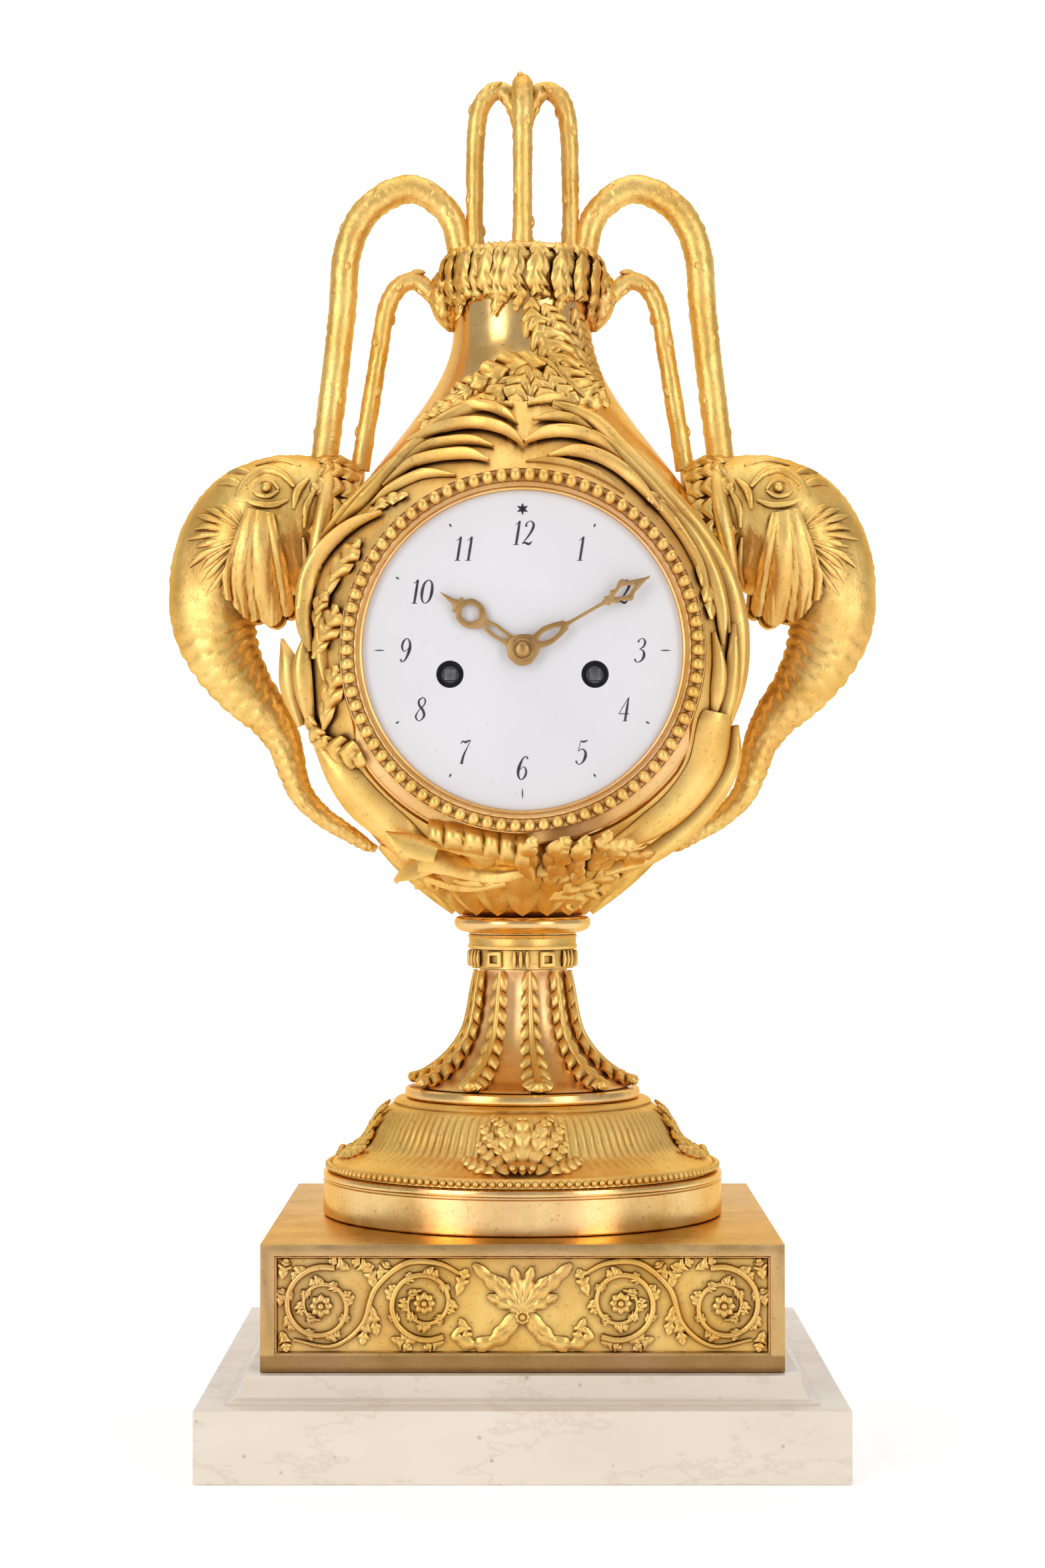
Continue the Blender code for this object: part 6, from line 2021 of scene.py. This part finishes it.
@dataclass
class Handles:
    """The two elephant-head handles, with the stalks that rise from them to the neck."""

    flat: float = 0.86
    ruff_leaves: int = 18

    def line(self) -> list[Spot]:
        """Give the head's and trunk's middle line: across, up and its radius there."""
        return [
            (55, 296, 19), (63, 297, 20.5), (72, 297.8, 22), (80.5, 296.5, 23), (89, 292, 23),
            (96.5, 284.5, 20.2), (101, 275, 16.6), (102.2, 264, 14.2), (98.6, 252.5, 11.8), (92, 242, 9.5),
            (84.2, 233, 7.2), (79, 224, 5.6), (76.2, 214.5, 4.6), (73, 206.8, 3.9), (66.4, 200, 3.3),
            (59, 195.2, 2.8), (52.6, 190.9, 2.2), (48.6, 188.9, 1.2),
        ]

    def trunk(self) -> Piece:
        """Model the head and the trunk in one, with its wrinkles."""
        rows, sides = 190, 44
        spots = smooth(self.line(), rows + 1)
        path = np.column_stack([spots[:, 0], np.zeros(rows + 1), spots[:, 1]])
        spine, _, side, out = frames([tuple(point) for point in path], (0, -1, 0), rows)
        radius = spots[:, 2]
        wave = np.linspace(0, 1, rows + 1)
        begin = np.clip((wave - 0.40) / 0.06, 0, 1)

        def place(u: Array, v: Array) -> Array:
            """Lay the skin's points round the middle line."""
            step = np.rint(v * rows).astype(int)
            turn = 2 * math.pi * u
            swirl = 0.7 * np.sin(3 * turn) + 0.4 * np.sin(5 * turn + 9 * v)
            crease = np.abs(np.sin(math.pi * 46 * v + swirl)) ** 0.5
            ripple = 0.12 * begin[step] * (crease - 0.7)
            skull = 0.03 * (1 - begin[step]) * np.sin(7 * turn + 26 * v) * np.sin(turn) ** 2
            size = radius[step] * (1 + ripple + skull)
            across, outward = np.cos(turn) * size, np.sin(turn) * size * self.flat
            return spine[step] + side[step] * across[:, None] + out[step] * outward[:, None]

        piece = tidy_mesh(sheet("trunk", sides, rows, place), merge=0.004, fill=True, angle=70)
        skin = bpy.data.textures.new("skin", "CLOUDS")
        skin.noise_scale, skin.noise_depth = 1.5 * MM, 3
        return modify(
            piece, "DISPLACE", texture=skin, strength=1.1 * MM, mid_level=0.5, texture_coords="LOCAL"
        )

    def flank(self, x: float, z: float, lift: float, side: int) -> Spot:
        """Give the point on the head's front or back at a place seen from the front.

        Args:
            x: how far right.
            z: how high.
            lift: how far off the skin.
            side: -1 for the front, 1 for the back.

        Returns:
            The point.
        """
        spots = smooth(self.line(), 120)
        gap = np.hypot(spots[:, 0] - x, spots[:, 1] - z)
        share = gap / spots[:, 2]
        best = int(np.argmin(share))
        rise = self.flat * spots[best, 2] * math.sqrt(max(0, 1 - float(share[best]) ** 2))
        return x, side * (rise + lift), z

    def ear(self, side: int) -> Piece:
        """Model one ear: a pleated fan with a lobed edge that stands off the neck.

        Args:
            side: -1 for the front, 1 for the back.

        Returns:
            The ear.
        """
        middle = smooth([(85.5, 299.5), (86.4, 287), (86.8, 275), (86.2, 262.6)], 61)
        half = smooth([4.2, 8.4, 11.2, 11.6], 61)[:, 0]

        def place(u: Array, v: Array) -> Array:
            """Lay the ear's points."""
            points = []
            for across, along in zip(u, v):
                edge = abs(2 * across - 1)
                wave = math.pi * (3.4 * across + 0.22 * math.sin(6 * across) + 0.25 * along)
                lobe = 1 - 0.08 * (1 - abs(math.sin(wave)) ** 0.6) * along**2 - 0.2 * along * edge**2.2
                step = min(60 * along * lobe, 59.99)
                row, part = int(step), step - int(step)
                x, z = middle[row] * (1 - part) + middle[row + 1] * part
                wide = half[row] * (1 - part) + half[row + 1] * part
                x += (2 * across - 1) * wide * 0.98
                z += (2 * across - 1) * wide * 0.2
                pleat = 1.6 * (abs(math.sin(wave)) ** 0.7 - 0.5) * along**0.6
                swirl = 1.6 * math.sin(5 * across + 2 * along)
                fine = 0.28 * math.sin(math.pi * (11 * across + swirl)) * along
                cheek = abs(self.flank(middle[row][0] + 3, middle[row][1], 0, side)[1])
                plate = cheek + 1.2 * along - 4.2 * edge**2
                skin = abs(self.flank(x, z, 0, side)[1])
                rise = max(plate, skin) + 0.8 + 1.6 * math.sin(math.pi * 0.55 * along) + pleat + fine
                points.append((x, side * rise, z))
            return np.array(points)

        piece = sheet("ear", 72, 30, place)
        modify(piece, "SMOOTH", factor=0.5, iterations=2)
        modify(piece, "SOLIDIFY", thickness=1.3 * MM, offset=0.0)
        return tidy_mesh(piece, merge=0.004, angle=60)

    def face(self, side: int) -> list[Piece]:
        """Model one side's eye, lids, brow and the folds of its cheek.

        Args:
            side: -1 for the front, 1 for the back.

        Returns:
            Its pieces.
        """

        def fold(line: Sequence[float], wide: Sequence[float], lift: float = 0.2) -> Piece:
            """Lay one soft fold of skin on the head."""
            path = [self.flank(x, z, lift, side) for x, z in pairs(line)]
            return sweep("fold", path, wide, [0.62 * half for half in wide], (0, side, 0.1), 20, 10)

        pieces = [bead(3.6, self.flank(83.6, 307.2, 0.3, side), 14, 10)]
        for index in range(13):
            angle = math.radians(36 - 8.0 * index)
            ray = np.array([math.cos(angle), math.sin(angle)])
            bend = np.array([-ray[1], ray[0]]) * (1.2 - 0.5 * (index % 4))
            reach = 15.5 + 0.6 * index + 1.6 * (index % 3)
            line = [
                np.array([88.5, 292]) + ray * far * reach + bend * turn
                for far, turn in ((0.25, 0), (0.5, 1), (0.78, 1.4), (1, 0.6))
            ]
            pieces.append(fold(np.ravel(line), (0.3, 0.8, 1.2, 0.3), -0.05))
        pieces += [
            fold(*one)
            for one in (
                ((79.6, 306.6, 82.2, 309.5, 85.6, 309.3, 88, 306.4), (0.5, 0.9, 0.9, 0.4)),
                ((79.6, 306.2, 82.5, 304.4, 86, 304.6, 88.2, 306), (0.4, 0.8, 0.8, 0.4)),
                ((74.5, 307.5, 79, 312, 85, 313.2, 90.5, 309.6, 93.5, 304.5),
                 (0.6, 1.5, 1.9, 1.6, 0.6)),
                ((76.5, 303, 81, 301.4, 86.5, 301.6, 91, 303.4), (0.5, 1.1, 1.1, 0.5)),
                ((73, 315, 80, 317.2, 88, 315.6), (0.5, 1.2, 0.5)),
                ((90, 306.5, 95.5, 309.6, 100.6, 309.4), (0.7, 1.6, 0.7)),
                ((88, 311.5, 93, 313.6, 97.4, 313.2), (0.6, 1.3, 0.6)),
                ((70, 310.5, 73.5, 306, 74.6, 300), (0.6, 1.5, 0.7)),
                ((67.5, 307, 70.4, 301, 71, 294), (0.6, 1.5, 0.7)),
                ((71.5, 291, 71, 283.5, 73, 276.5), (0.6, 1.5, 0.7)),
            )
        ]
        return pieces

    def ruff(self) -> Piece:
        """Model the leafy ruff where the head leaves the vase."""
        pieces = []
        for index in range(self.ruff_leaves):
            angle = 2 * math.pi * index / self.ruff_leaves
            tall, deep = math.cos(angle), math.sin(angle)
            long = 9 if index % 2 else 7
            path = []
            for x, radius in (
                (54, 18.8), (58, 21.2), (62, 22.6), (54 + long + 4, 22.4), (54 + long + 7, 20.8)
            ):
                path.append((x, radius * deep * self.flat, 296.5 + radius * tall))
            pieces.append(leaf(
                "ruff", path, (2.6, 3.6, 3.8, 2.8, 0.5), (0.2, deep, tall), 4, 0.42, 0.35, 0.32, 0.6, 1.1, 8,
                22,
            ))
        for side in (-1, 1):
            twist = [
                (66, 0, 317), (63.5, side * 11, 311.5), (64.5, side * 18.5, 301), (67, side * 19.6, 288),
                (70, side * 15, 277),
            ]
            pieces.append(sweep(
                "twist", twist, (4.4, 3.6, 3, 2.6, 1.2), facing=(0, side, 0.4), along=30, sides=12
            ))
        return join("ruff", pieces)

    def head(self) -> Piece:
        """Model the right-hand head whole."""
        pieces = [self.trunk(), self.ruff()]
        for side in (-1, 1):
            pieces += [self.ear(side), *self.face(side)]
        return join("elephant_right", pieces)

    def stalks(self) -> tuple[Piece, Piece]:
        """Model the right-hand stalks: the tall outer one and the short inner one."""
        outer = [
            (66, 317), (62.4, 346), (60, 368), (58.4, 387), (53.6, 399), (45.8, 406), (37.3, 408.6),
            (29.8, 405.6), (23.4, 398.5), (20.4, 386.5),
        ]
        inner = [
            (54, 315), (50, 340), (47.7, 354), (45.3, 368), (41.5, 375.6), (36.3, 378), (32, 375.6),
            (29.2, 372.7),
        ]
        tall = Stalk(
            [(x, 0, z) for x, z in outer], (4.5, 4.5, 4.65, 4.7, 4.7, 4.6, 4.3, 4.2), 22
        ).build("tall_stalk_right")
        short = Stalk(
            [(x, 0, z) for x, z in inner], (3.1, 3, 3, 3.1, 3, 2.9), 12, 0.9
        ).build("short_stalk_right")
        return tall, short

    def dress(self, finishes: Finishes) -> None:
        """Finish both sides, the left one mirrored from the right."""
        tall, short = self.stalks()
        for piece, node in ((self.head(), "elephant_head_"), (tall, "outer_stalk_"), (short, "inner_stalk_")):
            twin = copy_of(piece, Matrix.Diagonal((-1, 1, 1, 1)))
            twin.name = piece.name.replace("right", "left")
            hand_over(piece, finishes.hide, "gilt_bronze", node + "right")
            hand_over(twin, finishes.hide, "gilt_bronze", node + "left")


@dataclass
class Finial:
    """The finial: four stalks that rise from the cap and meet under a small knob."""

    radius: float = 15.8

    def dress(self, finishes: Finishes) -> None:
        """Model and finish the finial."""
        pieces = []
        for turn, size in ((0, 1.12), (90, 1), (180, 1.05), (270, 1)):
            angle = math.radians(turn)
            rows = (
                (self.radius, 385.5), (self.radius + 0.2, 400), (self.radius, 418), (self.radius - 0.6, 430),
                (self.radius - 2.6, 437.6), (self.radius - 6.6, 441.3), (5.6, 440.6), (2.9, 436.4),
                (1.5, 429),
            )
            path = [(radius * math.sin(angle), -radius * math.cos(angle), z) for radius, z in rows]
            radii = tuple(size * value for value in (3.2, 2.8, 2.9, 3, 3.1, 3.1, 3, 2.8, 1.6))
            pieces.append(Stalk(path, radii, 11, 1).build("stem"))
        pieces.append(turned("knob", [
            (0, 438), (2.2, 438.4), (3, 440.5), (2.4, 442.6), (1.6, 443.2), (2, 444.2), (1.4, 445.2),
            (0, 445.5),
        ], 24))
        hand_over(join("finial_stalks", pieces), finishes.hide, "gilt_bronze", "finial")


# The studio


@dataclass
class Studio:
    """The floor, the soft lights and the camera."""

    camera_back: float = 1006.4
    camera_height: float = 195.4
    pitch: float = 0.869
    lens: float = 69.64

    def floor(self) -> None:
        """Lay a pale floor that curves up behind."""
        arc = [math.radians(1.5 * step) for step in range(60)]
        rise = [(900 + 900 * math.sin(angle), 900 * (1 - math.cos(angle))) for angle in arc]
        run = [(-2600, 0), *rise, (1800, 2600)]
        line = np.array([(0, y, z) for y, z in run])

        def place(u: Array, v: Array) -> Array:
            """Lay the floor's points."""
            step = np.rint(v * 61).astype(int)
            return np.column_stack([(u - 0.5) * 7000, line[step, 1], line[step, 2] - 0.15])

        piece = sheet("pale_floor", 2, 61, place)
        alone(piece)
        bpy.ops.object.shade_smooth()
        paint = Palette("pale_paper")
        paper = paint.mix(paint.span(paint.noise(6, 3), 0, 1), (0.93, 0.93, 0.93), (0.91, 0.91, 0.91))
        glow = {"Emission Color": (1, 1, 1, 1), "Emission Strength": 0.22}
        piece.data.materials.append(paint.finish({"Base Color": paper, "Roughness": 0.85, **glow}))

    def light(
        self, name: str, place: Sequence[float], aim: Sequence[float], size: tuple[float, float],
        power: float, tone: Colour = (1, 1, 1),
    ) -> None:
        """Hang one soft light.

        Args:
            name: its name.
            place: where it hangs, in metres.
            aim: what it points at, in metres.
            size: its width and height, in metres.
            power: its power in watts.
            tone: its colour.
        """
        lamp = bpy.data.lights.new(name, "AREA")
        lamp.shape, lamp.energy, lamp.color = "RECTANGLE", power, tone
        lamp.size, lamp.size_y = size
        holder = bpy.data.objects.new(name, lamp)
        bpy.context.scene.collection.objects.link(holder)
        holder.location = place
        holder.rotation_euler = (Vector(aim) - Vector(place)).to_track_quat("-Z", "Y").to_euler()

    def dress(self) -> None:
        """Set the floor, lights, world and camera."""
        self.floor()
        self.light("left_softbox", (-1, -1.15, 0.5), (0, 0, 0.22), (0.6, 1.4), 8.5)
        self.light("right_softbox", (1, -1.15, 0.5), (0, 0, 0.22), (0.5, 1.4), 6.5)
        self.light("top_softbox", (0, -0.2, 1.5), (0, 0, 0.2), (1.6, 1.4), 5)
        self.light("sweep_light", (0, 0.5, 2.2), (0, 1.8, 0.5), (2.4, 0.8), 12)
        world = bpy.data.worlds.new("studio_white")
        world.use_nodes = True
        world.node_tree.nodes["Background"].inputs["Color"].default_value = (1, 1, 1, 1)
        world.node_tree.nodes["Background"].inputs["Strength"].default_value = 0.46
        bpy.context.scene.world = world
        camera = bpy.data.cameras.new("studio_camera")
        camera.sensor_fit, camera.sensor_height, camera.lens = "VERTICAL", 36, self.lens
        holder = bpy.data.objects.new("studio_camera", camera)
        bpy.context.scene.collection.objects.link(holder)
        holder.location = (0, -self.camera_back * MM, self.camera_height * MM)
        holder.rotation_euler = (math.pi / 2 + math.radians(self.pitch), 0, 0)
        bpy.context.scene.camera = holder
        bpy.context.scene.view_settings.view_transform = "Standard"


def main() -> None:
    """Load the frame, build every part of the clock and set the studio."""
    logging.basicConfig(level=logging.INFO, format="%(name)s: %(message)s")
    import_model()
    finishes = Finishes()
    vase = Vase()
    Studio().dress()
    for part in (
        MarbleBase(), Plinth(), Friezes(), Foot(), Stem(), vase, Dial(), Hands(), Wreath(vase), Bow(vase),
        Neck(vase), Handles(), Finial(),
    ):
        part.dress(finishes)
        log.info("%s is done", type(part).__name__)


if __name__ == "__main__":
    main()
